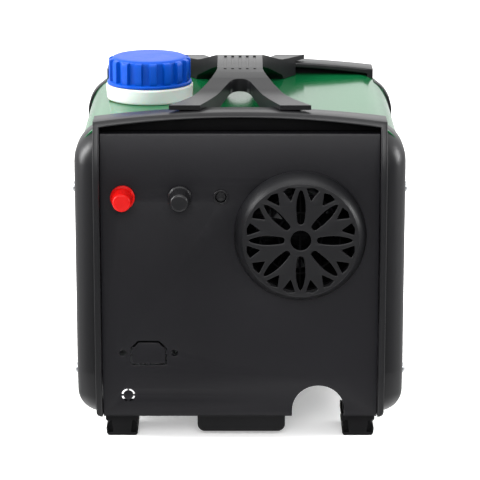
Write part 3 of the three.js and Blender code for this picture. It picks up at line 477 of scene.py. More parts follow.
def smoked_window(tones):
    """A dark display window, glossy, faintly smeared."""
    made = Finish("smoked_window", Coat_Weight=0.8, Coat_Roughness=0.03)
    smear = made.noise(48, 3.0, 0.6)
    made.colour(made.ramp(smear, [(0.3, (0.006, 0.008, 0.01)), (0.7, (0.012, 0.015, 0.018))]))
    made.roughness(made.between((0.3, 0.75), smear, 0.08, 0.2))
    return made.material


def display_glass(tones):
    """The grey-green field of the display, behind its window."""
    made = Finish("display_glass", Coat_Weight=0.7, Coat_Roughness=0.05)
    haze = made.noise(75, 2.0, 0.5)
    made.colour(made.ramp(haze, [(0.3, (0.05, 0.065, 0.055)), (0.7, (0.075, 0.092, 0.08))]))
    made.roughness(made.between((0.3, 0.7), haze, 0.2, 0.3))
    return made.material


def studio_floor(tones):
    """Near-white paper, very slightly uneven."""
    made = Finish("studio_floor", Specular_IOR_Level=0.05, Emission_Color=(1, 1, 1, 1),
                  Emission_Strength=tones.id_data.heater_studio.floor_glow)
    fibre = made.noise(3, 2.0, 0.5)
    made.colour(made.ramp(fibre, [(0.0, (0.93, 0.93, 0.93)), (1.0, (0.95, 0.95, 0.95))]))
    made.roughness(made.between((0.0, 1.0), fibre, 0.85, 0.95))
    return made.material


# ------------------------------------------------------------------ meshes
def add_object(name, mesh):
    """Links a mesh to the scene as a new object."""
    made = bpy.data.objects.new(name, mesh)
    bpy.context.scene.collection.objects.link(made)
    return made


def mesh_object(name, shape, sharp=32):
    """Turns a bmesh into an object, smooth except across edges sharper than the angle."""
    bmesh.ops.recalc_face_normals(shape, faces=shape.faces)
    mesh = bpy.data.meshes.new(name)
    shape.to_mesh(mesh)
    shape.free()
    mesh.shade_smooth()
    mesh.set_sharp_from_angle(angle=math.radians(sharp))
    return add_object(name, mesh)


def apply_modifiers(piece):
    """Replaces an object's mesh with its modified one."""
    graph = bpy.context.evaluated_depsgraph_get()
    mesh = bpy.data.meshes.new_from_object(piece.evaluated_get(graph))
    piece.modifiers.clear()
    piece.data = mesh
    return piece


def dress(piece, maker, slot, body, *nodes):
    """Gives a piece its finish and body, and the nodes that it stands for."""
    piece.data.materials.clear()
    piece.data.materials.append(finish(maker))
    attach(piece, body)
    if nodes:
        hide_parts(*nodes)
    return piece


def paint(node, maker):
    """Gives a node of the frame a finish and leaves its shape."""
    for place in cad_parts[node].material_slots:
        place.material = finish(maker)


def rounded_copy(node, width, segments, angle, name):
    """A copy of a node's shape with its edges rounded."""
    shape = bmesh.new()
    shape.from_mesh(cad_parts[node].data)
    bmesh.ops.remove_doubles(shape, verts=shape.verts, dist=1e-6)
    bmesh.ops.dissolve_limit(shape, angle_limit=math.radians(0.4), verts=shape.verts,
                             edges=shape.edges)
    piece = mesh_object(name, shape, angle)
    bevel = piece.modifiers.new("edges", "BEVEL")
    bevel.width = width
    bevel.segments = segments
    bevel.limit_method = "ANGLE"
    bevel.angle_limit = math.radians(angle)
    bevel.miter_outer = "MITER_ARC"
    piece.modifiers.new("normals", "WEIGHTED_NORMAL").keep_sharp = True
    return apply_modifiers(piece)


def round_off(node, width, segments, angle, name, maker, slot, body="case"):
    """Puts a rounded and finished copy in a node's place."""
    piece = rounded_copy(node, width, segments, angle, name)
    return dress(piece, maker, slot, body, node)


def arc(cx, cy, radius, start, end, steps=8):
    """Points along an arc, in degrees, both ends included."""
    points = []
    for step in range(steps + 1):
        angle = math.radians(start + (end - start) * step / steps)
        points.append((cx + radius * math.cos(angle), cy + radius * math.sin(angle)))
    return points


def curve_through(start, control, end, steps=8):
    """Points along a quadratic curve, without its start."""
    points = []
    for step in range(1, steps + 1):
        t = step / steps
        u = 1 - t
        points.append(tuple(u * u * a + 2 * u * t * b + t * t * c
                            for a, b, c in zip(start, control, end)))
    return points


def filleted(corners, steps=5):
    """A closed outline whose corners, given as (x, y, radius), are rounded off."""
    points = []
    for index, (x, y, radius) in enumerate(corners):
        here = Vector((x, y))
        before = Vector(corners[index - 1][:2]) - here
        after = Vector(corners[(index + 1) % len(corners)][:2]) - here
        if radius <= 0:
            points.append((x, y))
            continue
        reach = radius / math.tan(before.angle(after) / 2)
        reach = min(reach, before.length * 0.49, after.length * 0.49)
        start = here + before.normalized() * reach
        end = here + after.normalized() * reach
        points.append(tuple(start))
        points += curve_through(start, here, end, steps)
    return points


def rounded_rectangle(cx, cy, half_width, half_height, radius):
    """A closed outline of a rectangle with round corners."""
    return filleted([
        (cx - half_width, cy - half_height, radius), (cx + half_width, cy - half_height, radius),
        (cx + half_width, cy + half_height, radius), (cx - half_width, cy + half_height, radius),
    ], 6)


def plate(outlines, front_y, thickness, edge):
    """A bmesh plate facing -Y, drawn in X and Z: the first outline is its rim, the rest holes."""
    curve = bpy.data.curves.new("plate", "CURVE")
    curve.dimensions = "2D"
    curve.fill_mode = "BOTH"
    curve.extrude = thickness / 2 - edge
    curve.bevel_depth = edge
    curve.bevel_resolution = 2
    curve.offset = -edge
    for outline in outlines:
        spline = curve.splines.new("POLY")
        spline.points.add(len(outline) - 1)
        spline.points.foreach_set("co", [value for x, z in outline for value in (x, z, 0, 1)])
        spline.use_cyclic_u = True
    holder = add_object("plate", curve)
    bpy.context.view_layer.update()
    graph = bpy.context.evaluated_depsgraph_get()
    mesh = bpy.data.meshes.new_from_object(holder.evaluated_get(graph))
    shape = bmesh.new()
    shape.from_mesh(mesh)
    bpy.data.objects.remove(holder)
    bpy.data.curves.remove(curve)
    bpy.data.meshes.remove(mesh)
    bmesh.ops.remove_doubles(shape, verts=shape.verts, dist=1e-6)
    for vertex in shape.verts:
        x, z, depth = vertex.co
        vertex.co = (x, front_y + thickness / 2 - depth, z)
    return shape


def spin(shape, profile, segments, closed=True):
    """Adds a surface turned about Y from (radius, y) pairs, centred on the origin."""
    rings = []
    for radius, y in profile:
        if radius < 1e-7:
            rings.append([shape.verts.new((0, y, 0))])
            continue
        rings.append([shape.verts.new((radius * math.cos(turn), y, radius * math.sin(turn)))
                      for turn in (2 * math.pi * i / segments for i in range(segments))])
    pairs = list(zip(rings, rings[1:]))
    if closed:
        pairs.append((rings[-1], rings[0]))
    for first, second in pairs:
        join_rings(shape, first, second)
    return shape


def join_rings(shape, first, second):
    """Faces between two rings of vertices, either of which may be a single point."""
    count = max(len(first), len(second))
    if count < 2:
        return
    for i in range(count):
        j = (i + 1) % count
        corners = [first[i % len(first)], first[j % len(first)],
                   second[j % len(second)], second[i % len(second)]]
        corners = [c for k, c in enumerate(corners) if c not in corners[:k]]
        shape.faces.new(corners)


def moved(shape, offset):
    bmesh.ops.translate(shape, verts=shape.verts, vec=offset)
    return shape


def upright(shape):
    """Turns a shape made about Y, nose at -Y, to stand about Z with its nose up."""
    bmesh.ops.rotate(shape, verts=shape.verts, matrix=Matrix.Rotation(-math.pi / 2, 3, "X"))
    return shape


def turned_round(piece):
    """Turns a piece half round, from the intake end to the outlet end."""
    piece.data.transform(Matrix.Rotation(math.pi, 4, "Z"))
    return piece


def add_box(shape, low_corner, high_corner):
    """Adds a box between two corners."""
    size = Vector(high_corner) - Vector(low_corner)
    centre = (Vector(high_corner) + Vector(low_corner)) / 2
    place = Matrix.Translation(centre) @ Matrix.Diagonal((*size, 1))
    bmesh.ops.create_cube(shape, size=1, matrix=place)


# ------------------------------------------------------------------ the end profile
FACE_Y = low("front_panel").y
ARCH_FACE_Y = low("front_arch").y
ARCH_BACK_Y = high("front_arch").y
ARCH_BOTTOM = low("front_arch").z
CROWN_Z = high("front_arch").z
ARCH_HALF = high("front_arch").x
ARCH_WALL = 5 * MM
SHOULDER_Z = CROWN_Z - 7 * MM
ROOF = 4 * MM
CREASE_Z = 56 * MM
LEAN_Z = 208 * MM
LOWER_LEAN = 8 * MM
UPPER_LEAN = 15 * MM
SHEET = 1.5 * MM
FLANGE = 14 * MM
GAP = 0.3 * MM


def lean_in(z):
    """How far the end leans in: straight below the crease, curved towards the top."""
    if z < CREASE_Z:
        return LOWER_LEAN * (CREASE_Z - z) / (CREASE_Z - ARCH_BOTTOM)
    if z < LEAN_Z:
        return 0.0
    return UPPER_LEAN * ((z - LEAN_Z) / (CROWN_Z - LEAN_Z)) ** 2


def lean(shape, face_y, back_y):
    """Leans a shape's front, leaving its back at back_y where it is."""
    heights = [CREASE_Z]
    steps = 12
    heights += [LEAN_Z + (CROWN_Z - LEAN_Z) * step / steps for step in range(steps)]
    for z in heights:
        geometry = list(shape.verts) + list(shape.edges) + list(shape.faces)
        bmesh.ops.bisect_plane(shape, geom=geometry, dist=1e-7, plane_co=(0, 0, z),
                               plane_no=(0, 0, 1))
    for vertex in shape.verts:
        share = (back_y - vertex.co.y) / (back_y - face_y)
        vertex.co.y += min(1.0, max(0.0, share)) * lean_in(vertex.co.z)
    return shape


def panel_sheet(node, outlines, edge):
    """An end panel of folded sheet, with a flange turned back along its top."""
    half, top = high(node).x, high(node).z
    shape = plate(outlines, FACE_Y, SHEET, edge)
    fold_y = FACE_Y + SHEET / 2
    add_box(shape, (-half, fold_y, top - SHEET), (half, fold_y + FLANGE, top - 0.05 * MM))
    return lean(shape, FACE_Y - 1, FACE_Y + 1)


# ------------------------------------------------------------------ operators
class HeaterBuilder:
    """What every step of the build has in common."""

    bl_options = {"REGISTER", "UNDO"}

    def execute(self, context):
        self.build(*settings())
        return {"FINISHED"}


class AddArches(HeaterBuilder, bpy.types.Operator):
    """Add the two raised arches with their shallow hoods"""

    bl_idname = "heater.add_arches"
    bl_label = "Arches"

    def build(self, finishes, details, studio):
        for end in ("front", "rear"):
            trim = mesh_object(f"{end}_arch_trim", self.shape(details.trim_edge))
            web = mesh_object(f"{end}_arch_web", self.web(details.sheet_edge))
            # The web behind the hood is painted darker than the trim, as painted shade.
            for piece, maker in ((trim, black_moulding), (web, painted_shade_black)):
                if end == "rear":
                    turned_round(piece)
                dress(piece, maker, "black_moulding", "case", f"{end}_arch")

    def shape(self, edge):
        half, inner = ARCH_HALF, ARCH_HALF - ARCH_WALL
        foot = 4 * MM
        rise = 2 * (CROWN_Z - SHOULDER_Z)
        outer_left, outer_right = (-half, SHOULDER_Z), (half, SHOULDER_Z)
        inner_left, inner_right = (-inner, SHOULDER_Z - ROOF), (inner, SHOULDER_Z - ROOF)
        outline = arc(half - foot, ARCH_BOTTOM + foot, foot, -90, 0)
        outline.append(outer_right)
        outline += curve_through(outer_right, (0, SHOULDER_Z + rise), outer_left, 32)
        outline += arc(-half + foot, ARCH_BOTTOM + foot, foot, 180, 270)
        outline += [(-inner, ARCH_BOTTOM), inner_left]
        outline += curve_through(inner_left, (0, SHOULDER_Z - ROOF + rise), inner_right, 32)
        outline.append((inner, ARCH_BOTTOM))
        shape = plate([outline], ARCH_FACE_Y, ARCH_BACK_Y - ARCH_FACE_Y, edge)
        lean(shape, ARCH_FACE_Y, ARCH_BACK_Y)
        return shape

    def web(self, edge):
        """The wall that closes the hood behind, as high as the hood's underside."""
        half = ARCH_HALF - ARCH_WALL - 0.05 * MM
        bottom, top = high("front_panel").z + GAP, SHOULDER_Z - 0.8 * MM
        rise = 2 * (CROWN_Z - SHOULDER_Z)
        outline = [(-half, top), (-half, bottom), (half, bottom), (half, top)]
        outline += curve_through(outline[-1], (0, top + rise), outline[0], 24)[:-1]
        back, thickness = low("cover").y - GAP, 3 * MM
        return plate([outline], back - thickness, thickness, edge)


class AddCheeks(HeaterBuilder, bpy.types.Operator):
    """Add the four rounded corner mouldings beside the arches"""

    bl_idname = "heater.add_cheeks"
    bl_label = "Cheeks"

    def build(self, finishes, details, studio):
        for end in ("front", "rear"):
            for side in ("left", "right"):
                # The front pair is made; the rear pair is the same pair turned half round.
                piece = mesh_object(f"{end}_{side}_cheek_trim",
                                    self.shape(-1 if side == "left" else 1), 50)
                if end == "rear":
                    turned_round(piece)
                dress(piece, black_moulding, "black_moulding", "case", f"{end}_{side}_cheek")

    def outline(self, inset):
        """The hoop seen from the end, drawn in by inset."""
        node = "front_right_cheek"
        half = high(node).x - inset
        top = high(node).z - inset
        bottom = low(node).z + inset
        top_radius = 28 * MM - inset
        bottom_radius = 19 * MM - inset
        points = arc(half - bottom_radius, bottom + bottom_radius, bottom_radius, -90, 0, 12)
        heights = [CREASE_Z - 1 * MM, CREASE_Z + 1 * MM, 0.1, 0.15, LEAN_Z, LEAN_Z + 6 * MM,
                   LEAN_Z + 12 * MM]
        points += [(half, z) for z in heights]
        points += arc(half - top_radius, top - top_radius, top_radius, 0, 90, 14)
        points += [(half * share, top) for share in (0.5, 0.0, -0.5)]
        mirrored = [(-x, z) for x, z in reversed(points[:-3])]
        return points + mirrored

    def shape(self, sign):
        node = "front_right_cheek"
        face_y = low(node).y
        back_y = high(node).y
        nose_width, nose_depth = 16 * MM, 20 * MM
        steps = 14
        section = [(nose_width + 2 * MM, face_y)]
        for step in range(steps + 1):
            turn = math.radians(90 * step / steps)
            section.append((nose_width * (1 - math.sin(turn)),
                            face_y + nose_depth * (1 - math.cos(turn))))
        lip = 1.2 * MM
        for step in range(1, 5):
            turn = math.radians(90 * step / 4)
            section.append((lip * (1 - math.cos(turn)), back_y - lip + lip * math.sin(turn)))
        seat = high(node).x - high("cover").x - GAP
        section += [(seat, back_y), (seat, back_y - 6 * MM)]
        shape = bmesh.new()
        rings = [[shape.verts.new((x, y, z)) for x, z in self.outline(inset)]
                 for inset, y in section]
        for first, second in zip(rings, rings[1:]):
            join_rings(shape, first, second)
        for vertex in shape.verts:
            share = min(1.0, max(0.0, (back_y - vertex.co.y) / nose_depth))
            vertex.co.y += share * lean_in(vertex.co.z)
        inner = ARCH_HALF + GAP
        geometry = list(shape.verts) + list(shape.edges) + list(shape.faces)
        bmesh.ops.bisect_plane(shape, geom=geometry, dist=1e-7, plane_co=(sign * inner, 0, 0),
                               plane_no=(-sign, 0, 0), clear_outer=True)
        return shape


class AddFrontPanel(HeaterBuilder, bpy.types.Operator):
    """Add the intake end's panel with its knock-outs, holes and pipe notch"""

    bl_idname = "heater.add_front_panel"
    bl_label = "Front panel"

    def build(self, finishes, details, studio):
        node = "front_panel"
        half = high(node).x
        notch_x, notch_z, notch_radius = 61 * MM, 26 * MM, 20.3 * MM
        bottom, top = low(node).z, high(node).z
        rim = [(-half, top), (-half, bottom), (notch_x - notch_radius, bottom)]
        rim += arc(notch_x, notch_z, notch_radius, 180, 0, 40)
        rim += [(notch_x + notch_radius, bottom), (half, bottom), (half, top)]
        post_z = middle("red_post_base").z
        fan = middle("intake_grille")
        holes = [
            arc(fan.x, fan.z, 44 * MM, 0, 354, 59),
            arc(middle("red_post_base").x, post_z, 4.2 * MM, 0, 345, 23),
            arc(middle("black_post_base").x, post_z, 4.2 * MM, 0, 345, 23),
            arc(middle("reset_button").x, post_z, 5.3 * MM, 0, 350, 35),
        ]
        holes += self.socket_slits(details.slit_width)
        holes += self.cable_slits(details.slit_width)
        shape = panel_sheet(node, [rim, *holes], details.sheet_edge)
        piece = mesh_object("front_panel_sheet", shape)
        dress(piece, powder_coat, "black_sheet", "case", node)

    @staticmethod
    def slit(points, width):
        """The outline of a slit of a given width along a few points."""
        left, right = [], []
        for index, point in enumerate(points):
            here = Vector(point)
            ahead = (Vector(points[index + 1]) - here) if index + 1 < len(points) else None
            behind = (here - Vector(points[index - 1])) if index else None
            along = ahead.normalized() if ahead else behind.normalized()
            if ahead and behind:
                along = (ahead.normalized() + behind.normalized()).normalized()
            side = Vector((-along.y, along.x)) * width / 2
            if ahead and behind:
                side /= max(0.5, along.dot(ahead.normalized()))
            left.append(tuple(here + side))
            right.append(tuple(here - side))
        return left + right[::-1]

    def socket_slits(self, width):
        """Slits round the appliance inlet's blank, and its two screw holes."""
        x, z = -70.8 * MM, 73.2 * MM
        half, tall, chamfer, radius = 13.5 * MM, 9.1 * MM, 5.6 * MM, 2.2 * MM
        bridge = 0.6 * MM
        start = z - 0.3 * MM
        over = [(x - half, start + bridge), (x - half, z + tall - chamfer),
                (x - half + chamfer, z + tall), (x + half - chamfer, z + tall),
                (x + half, z + tall - chamfer), (x + half, start + bridge)]
        left = [(x - half, start - bridge)]
        left += arc(x - half + radius, z - tall + radius, radius, 180, 270, 5)
        left += [(x - bridge * 1.6, z - tall)]
        right = [(x + half, start - bridge)]
        right += arc(x + half - radius, z - tall + radius, radius, 0, -90, 5)
        right += [(x + bridge * 1.6, z - tall)]
        slits = [self.slit(line, width) for line in (over, left, right)]
        for side in (-1, 1):
            slits.append(arc(x + side * 20 * MM, z, 2.6 * MM, 0, 345, 23))
        return slits

    def cable_slits(self, width):
        """Four slits round the cable knock-out."""
        x, z, radius = -87 * MM, 38.4 * MM, 4.6 * MM
        gap = 9
        return [self.slit(arc(x, z, radius, start + gap, start + 90 - gap, 8), width)
                for start in (0, 90, 180, 270)]


class AddRearPanel(HeaterBuilder, bpy.types.Operator):
    """Add the outlet end's panel"""

    bl_idname = "heater.add_rear_panel"
    bl_label = "Rear panel"

    def build(self, finishes, details, studio):
        node = "rear_panel"
        half = high(node).x
        rim = [(-half, high(node).z), (-half, low(node).z), (half, low(node).z),
               (half, high(node).z)]
        outlet = middle("outlet_spigot")
        hole = arc(-outlet.x, outlet.z, 38 * MM, 0, 354, 59)
        shape = panel_sheet(node, [rim, hole], details.sheet_edge)
        piece = turned_round(mesh_object("rear_panel_sheet", shape))
        dress(piece, powder_coat, "black_sheet", "case", node)


class AddCover(HeaterBuilder, bpy.types.Operator):
    """Add the enamelled cover, the base and the guard below it"""

    bl_idname = "heater.add_cover"
    bl_label = "Cover and base"

    def build(self, finishes, details, studio):
        round_off("cover", details.sheet_edge, 2, 40, "cover_sheet",
                  green_enamel, "green_paint")
        round_off("base_pan", details.sheet_edge, 2, 40, "base_sheet",
                  powder_coat, "black_sheet")
        round_off("under_guard", details.trim_edge * 0.6, 2, 40, "guard_trough",
                  black_moulding, "black_moulding")


class AddFeet(HeaterBuilder, bpy.types.Operator):
    """Add the four moulded feet"""

    bl_idname = "heater.add_feet"
    bl_label = "Feet"

    def build(self, finishes, details, studio):
        for end in ("front", "rear"):
            for side in ("left", "right"):
                node = f"{end}_{side}_foot"
                round_off(node, 0.5 * MM, 2, 30, f"{node}_rounded", foot_rubber, "rubber")


class AddHandle(HeaterBuilder, bpy.types.Operator):
    """Add the saddle handle with its grooved grip"""

    bl_idname = "heater.add_handle"
    bl_label = "Handle"

    def build(self, finishes, details, studio):
        round_off("handle", 1.0 * MM, 3, 35, "handle_saddle",
                  black_moulding, "black_moulding")


class AddFiller(HeaterBuilder, bpy.types.Operator):
    """Add the filler collar and the ribbed screw cap"""

    bl_idname = "heater.add_filler"
    bl_label = "Filler"

    def build(self, finishes, details, studio):
        collar = mesh_object("filler_collar_ring", self.collar())
        dress(collar, tank_plastic, "white_plastic", "case", "filler_collar")
        cap = mesh_object("fuel_cap_ribbed", self.cap(details.rib_count), 40)
        dress(cap, blue_cap, "blue_plastic", "fuel_cap", "fuel_cap")

    def collar(self):
        node = "filler_collar"
        bottom, top = low(node).z, high(node).z
        outer = across(node, 0) / 2
        bore = 27.2 * MM
        profile = filleted([
            (bore, -bottom, 0.3 * MM), (outer - 1.4 * MM, -bottom, 0.4 * MM),
            (outer - 0.7 * MM, -bottom - 1.4 * MM, 0.8 * MM),
            (outer, -top + 1.3 * MM, 0.8 * MM), (outer - 0.6 * MM, -top, 0.5 * MM),
            (bore, -top, 0.3 * MM)], 4)
        shape = upright(spin(bmesh.new(), profile, 96))
        return moved(shape, (middle(node).x, middle(node).y, 0))

    def cap(self, rib_count):
        """A polar grid: the ribs stand out where their wave is high, between bead and crown."""
        node = "fuel_cap"
        base, top = low(node).z, high(node).z
        height = top - base
        core, tip, bead, bore = 30 * MM, 32.9 * MM, 34 * MM, 27.3 * MM
        levels = [(bore, 0.0, 0.0), (bead - 0.6 * MM, 0.0, 0.0), (bead - 0.15 * MM, 0.3 * MM, 0.0),
                  (bead, 1.0 * MM, 0.0), (bead - 0.15 * MM, 1.9 * MM, 0.0),
                  (bead - 0.9 * MM, 2.5 * MM, 0.0), (core + 0.9 * MM, 2.8 * MM, 0.55),
                  (core, 3.4 * MM, 1.0)]
        levels += [(core, z * MM, 1.0) for z in (6, 9, 12, 15, 17)]
        levels += [(core, height - 3.2 * MM, 1.0), (core - 0.05 * MM, height - 2.2 * MM, 0.9),
                   (core - 0.2 * MM, height - 1.7 * MM, 0.62),
                   (core - 0.6 * MM, height - 1.3 * MM, 0.0),
                   (29.0 * MM, height - 0.75 * MM, 0.0), (28.0 * MM, height - 0.25 * MM, 0.0),
                   (26.6 * MM, height - 0.05 * MM, 0.0), (23 * MM, height, 0.0),
                   (0.0, height, 0.0)]
        levels += [(0.0, height - 3.4 * MM, 0.0), (bore, height - 3.4 * MM, 0.0)]
        per_rib = 20
        count = rib_count * per_rib
        shape = bmesh.new()
        rings = []
        for radius, z, ribbed in levels:
            if radius < 1e-7:
                rings.append([shape.verts.new((0, 0, z))])
                continue
            ring = []
            for i in range(count):
                phase = ((i + 0.5) / per_rib + 0.4) % 1.0
                reach = radius + ribbed * (tip - core) * self.rib_wave(phase)
                turn = 2 * math.pi * i / count
                ring.append(shape.verts.new((reach * math.cos(turn), reach * math.sin(turn), z)))
            rings.append(ring)
        for first, second in zip(rings, rings[1:] + rings[:1]):
            join_rings(shape, first, second)
        return moved(shape, (middle(node).x, middle(node).y, base))

    @staticmethod
    def rib_wave(phase):
        """1 on a rib and 0 in the valley beside it, with short rounded sides."""
        half, side = 0.25, 0.05
        away = abs(phase - 0.5)
        t = min(1.0, max(0.0, (half + side / 2 - away) / side))
        return t * t * (3 - 2 * t)


class AddPosts(HeaterBuilder, bpy.types.Operator):
    """Add the two terminal posts with their clamping knobs"""

    bl_idname = "heater.add_posts"
    bl_label = "Posts"

    def build(self, finishes, details, studio):
        plastics = {"red": (red_plastic, "red_plastic"),
                    "black": (black_moulding, "black_moulding")}
        for colour, (maker, slot) in plastics.items():
            base = mesh_object(f"{colour}_post_flange", self.flange(f"{colour}_post_base"))
            dress(base, maker, slot, "case", f"{colour}_post_base")
            knob = mesh_object(f"{colour}_post_grip", self.knob(f"{colour}_post_knob"), 45)
            dress(knob, maker, slot, f"{colour}_knob", f"{colour}_post_knob")
            paint(f"{colour}_post_stud", turned_brass)

    def flange(self, node):
        radius = across(node, 0) / 2
        front, back = low(node).y, high(node).y
        profile = filleted([(3.2 * MM, back, 0), (radius, back, 0.2 * MM),
                            (radius, front + 0.9 * MM, 0.9 * MM),
                            (radius - 1.1 * MM, front, 0.6 * MM), (3.2 * MM, front, 0)], 5)
        shape = spin(bmesh.new(), profile, 64)
        return moved(shape, (middle(node).x, 0, middle(node).z))

    def knob(self, node):
        """A tapering grip with shallow flutes and a rounded nose."""
        front, back = low(node).y, high(node).y
        neck = across(node, 0) / 2
        length = back - front
        levels = [(3.3 * MM, 0.0, 0), (neck - 0.2 * MM, 0.0, 0), (neck, 0.3 * MM, 0),
                  (neck, 2.0 * MM, 0), (neck - 0.15 * MM, 2.5 * MM, 0),
                  (neck - 0.5 * MM, 3.0 * MM, 0.6),
                  (neck - 0.55 * MM, 4.0 * MM, 1)]
        levels += [(neck - (0.55 + 0.045 * (z - 4)) * MM, z * MM, 1) for z in (7, 10, 12.5)]
        levels += [(neck - 1.1 * MM, length - 2.4 * MM, 0.6),
                   (neck - 1.35 * MM, length - 1.3 * MM, 0),
                   (neck - 1.8 * MM, length - 0.5 * MM, 0),
                   (neck - 2.5 * MM, length - 0.08 * MM, 0),
                   (neck - 3.2 * MM, length, 0), (0.0, length, 0)]
        flutes, per_flute = 18, 8
        count = flutes * per_flute
        shape = bmesh.new()
        rings = []
        for radius, depth, fluted in levels:
            if radius < 1e-7:
                rings.append([shape.verts.new((0, back - depth, 0))])
                continue
            ring = []
            for i in range(count):
                dip = 0.22 * MM * fluted * max(0.0, math.cos(2 * math.pi * i / per_flute)) ** 3
                turn = 2 * math.pi * i / count
                ring.append(shape.verts.new(((radius - dip) * math.cos(turn), back - depth,
                                             (radius - dip) * math.sin(turn))))
            rings.append(ring)
        for first, second in zip(rings, rings[1:]):
            join_rings(shape, first, second)
        return moved(shape, (middle(node).x, 0, middle(node).z))


class AddButton(HeaterBuilder, bpy.types.Operator):
    """Add the recessed reset button in its barrel"""

    bl_idname = "heater.add_button"
    bl_label = "Reset button"

    def build(self, finishes, details, studio):
        node = "button_barrel"
        front, back = low(node).y, high(node).y
        outer = across(node, 0) / 2
        spot = (middle(node).x, 0, middle(node).z)
        barrel = filleted([
            (4.3 * MM, back, 0), (4.3 * MM, front, 0.3 * MM), (outer, front, 0.35 * MM),
            (outer, FACE_Y - 0.1 * MM, 0), (5 * MM, FACE_Y, 0), (5 * MM, back, 0)], 4)
        ring = mesh_object("button_barrel_ring", moved(spin(bmesh.new(), barrel, 56), spot))
        dress(ring, black_moulding, "black_moulding", "case", node)
        node = "reset_button"
        front, back = low(node).y, high(node).y
        radius = across(node, 0) / 2
        face = [(0.0, front + 0.35 * MM), (radius * 0.45, front + 0.25 * MM)]
        face += filleted([(radius * 0.7, front, 0), (radius, front, 0.5 * MM),
                          (radius, back, 0)], 5)
        face.append((0.0, back))
        button = mesh_object("reset_button_cap",
                             moved(spin(bmesh.new(), face, 48, closed=False), spot))
        dress(button, black_moulding, "black_moulding", "reset_button", node)


class AddGrille(HeaterBuilder, bpy.types.Operator):
    """Add the intake grille with its petals, and the wire guard behind it"""

    bl_idname = "heater.add_grille"
    bl_label = "Intake grille"

    def build(self, finishes, details, studio):
        node = "intake_grille"
        spot = Vector((middle(node).x, 0, middle(node).z))
        front, back = low(node).y, high(node).y
        base_radius = across(node, 0) / 2
        face_radius = 44.5 * MM
        wall = 2.4 * MM
        edge = 0.45 * MM
        outlines = [arc(0, 0, face_radius, 0, 357, 119), arc(0, 0, 7.9 * MM, 0, 353, 47)]
        for petal in range(details.petal_count):
            turn = 2 * math.pi * petal / details.petal_count
            outlines.append(self.rotated(self.petal(), turn))
            outlines.append(self.rotated(self.window(1), turn))
            outlines.append(self.rotated(self.window(-1), turn))
        shape = plate(outlines, front, wall, edge)
        cone = [(face_radius - 0.25 * MM, front + 0.25 * MM), (face_radius, front + 0.7 * MM)]
        shoulder = (face_radius + 0.3 * MM, front + 1.2 * MM)
        skirt = (base_radius, back - 1.1 * MM)
        bulge = ((shoulder[0] + skirt[0]) / 2 + 1.3 * MM, (shoulder[1] + skirt[1]) / 2 - 0.7 * MM)
        cone += [shoulder, *curve_through(shoulder, bulge, skirt, 10)]
        cone += filleted([(base_radius, back - 1.0 * MM, 0), (base_radius, back, 0.2 * MM),
                          (base_radius - 4.6 * MM, back, 0),
                          (face_radius - 2 * MM, front + wall, 0),
                          ], 5)
        spin(shape, cone, 120)
        grille = mesh_object("intake_grille_cone", moved(shape, spot), 38)
        dress(grille, black_moulding, "black_moulding", "case", node)
        guard = mesh_object("fan_guard_wires", self.guard())
        # The guard wires are painted near black as painted shade.
        dress(guard, painted_shade_black, "steel", "case", "fan_guard")

    @staticmethod
    def rotated(points, turn):
        cosine, sine = math.cos(turn), math.sin(turn)
        return [(x * cosine - z * sine, x * sine + z * cosine) for x, z in points]

    @staticmethod
    def petal():
        """A long slot with a blunt inner end and a drawn-out outer tip."""
        inner, outer, full = 12.4 * MM, 39.4 * MM, 3.5 * MM
        waist = (inner + outer) / 2
        blunt = full * 0.75
        half = [(0.0, inner)]
        half += curve_through(half[-1], (blunt, inner), (blunt + 0.1 * MM, inner + 3 * MM), 6)
        half += curve_through(half[-1], (full * 1.25, waist), (full * 0.8, outer - 6.5 * MM), 10)
        half += curve_through(half[-1], (full * 0.4, outer), (0.0, outer), 6)
        return half + [(-x, z) for x, z in half[-2:0:-1]]

    @staticmethod
    def window(side):
        """The small three-cornered opening beside a petal, near the rim."""
        corners = []
        for degrees, radius, fillet in ((5.6, 41, 0.6), (13, 42.2, 0), (19.6, 41, 0.6),
                                        (13.9, 31.4, 0.6)):
            angle = math.radians(side * degrees)
            corners.append((radius * MM * math.sin(angle), radius * MM * math.cos(angle),
                            fillet * MM))
        return filleted(corners, 3)

    def guard(self):
        """Three rings of wire on a cross."""
        node = "fan_guard"
        wire = 0.9 * MM
        shape = bmesh.new()
        for radius in (17 * MM, 31 * MM, 44 * MM):
            ring = [(radius + wire * math.cos(a), wire * math.sin(a))
                    for a in (2 * math.pi * i / 8 for i in range(8))]
            spin(shape, ring, 64)
        for turn in (0, math.pi / 2):
            rod = bmesh.ops.create_cone(shape, cap_ends=True, segments=10, radius1=wire,
                                        radius2=wire, depth=88 * MM)
            bmesh.ops.rotate(shape, verts=rod["verts"], matrix=Matrix.Rotation(turn, 3, "Y"))
        return moved(shape, middle(node))


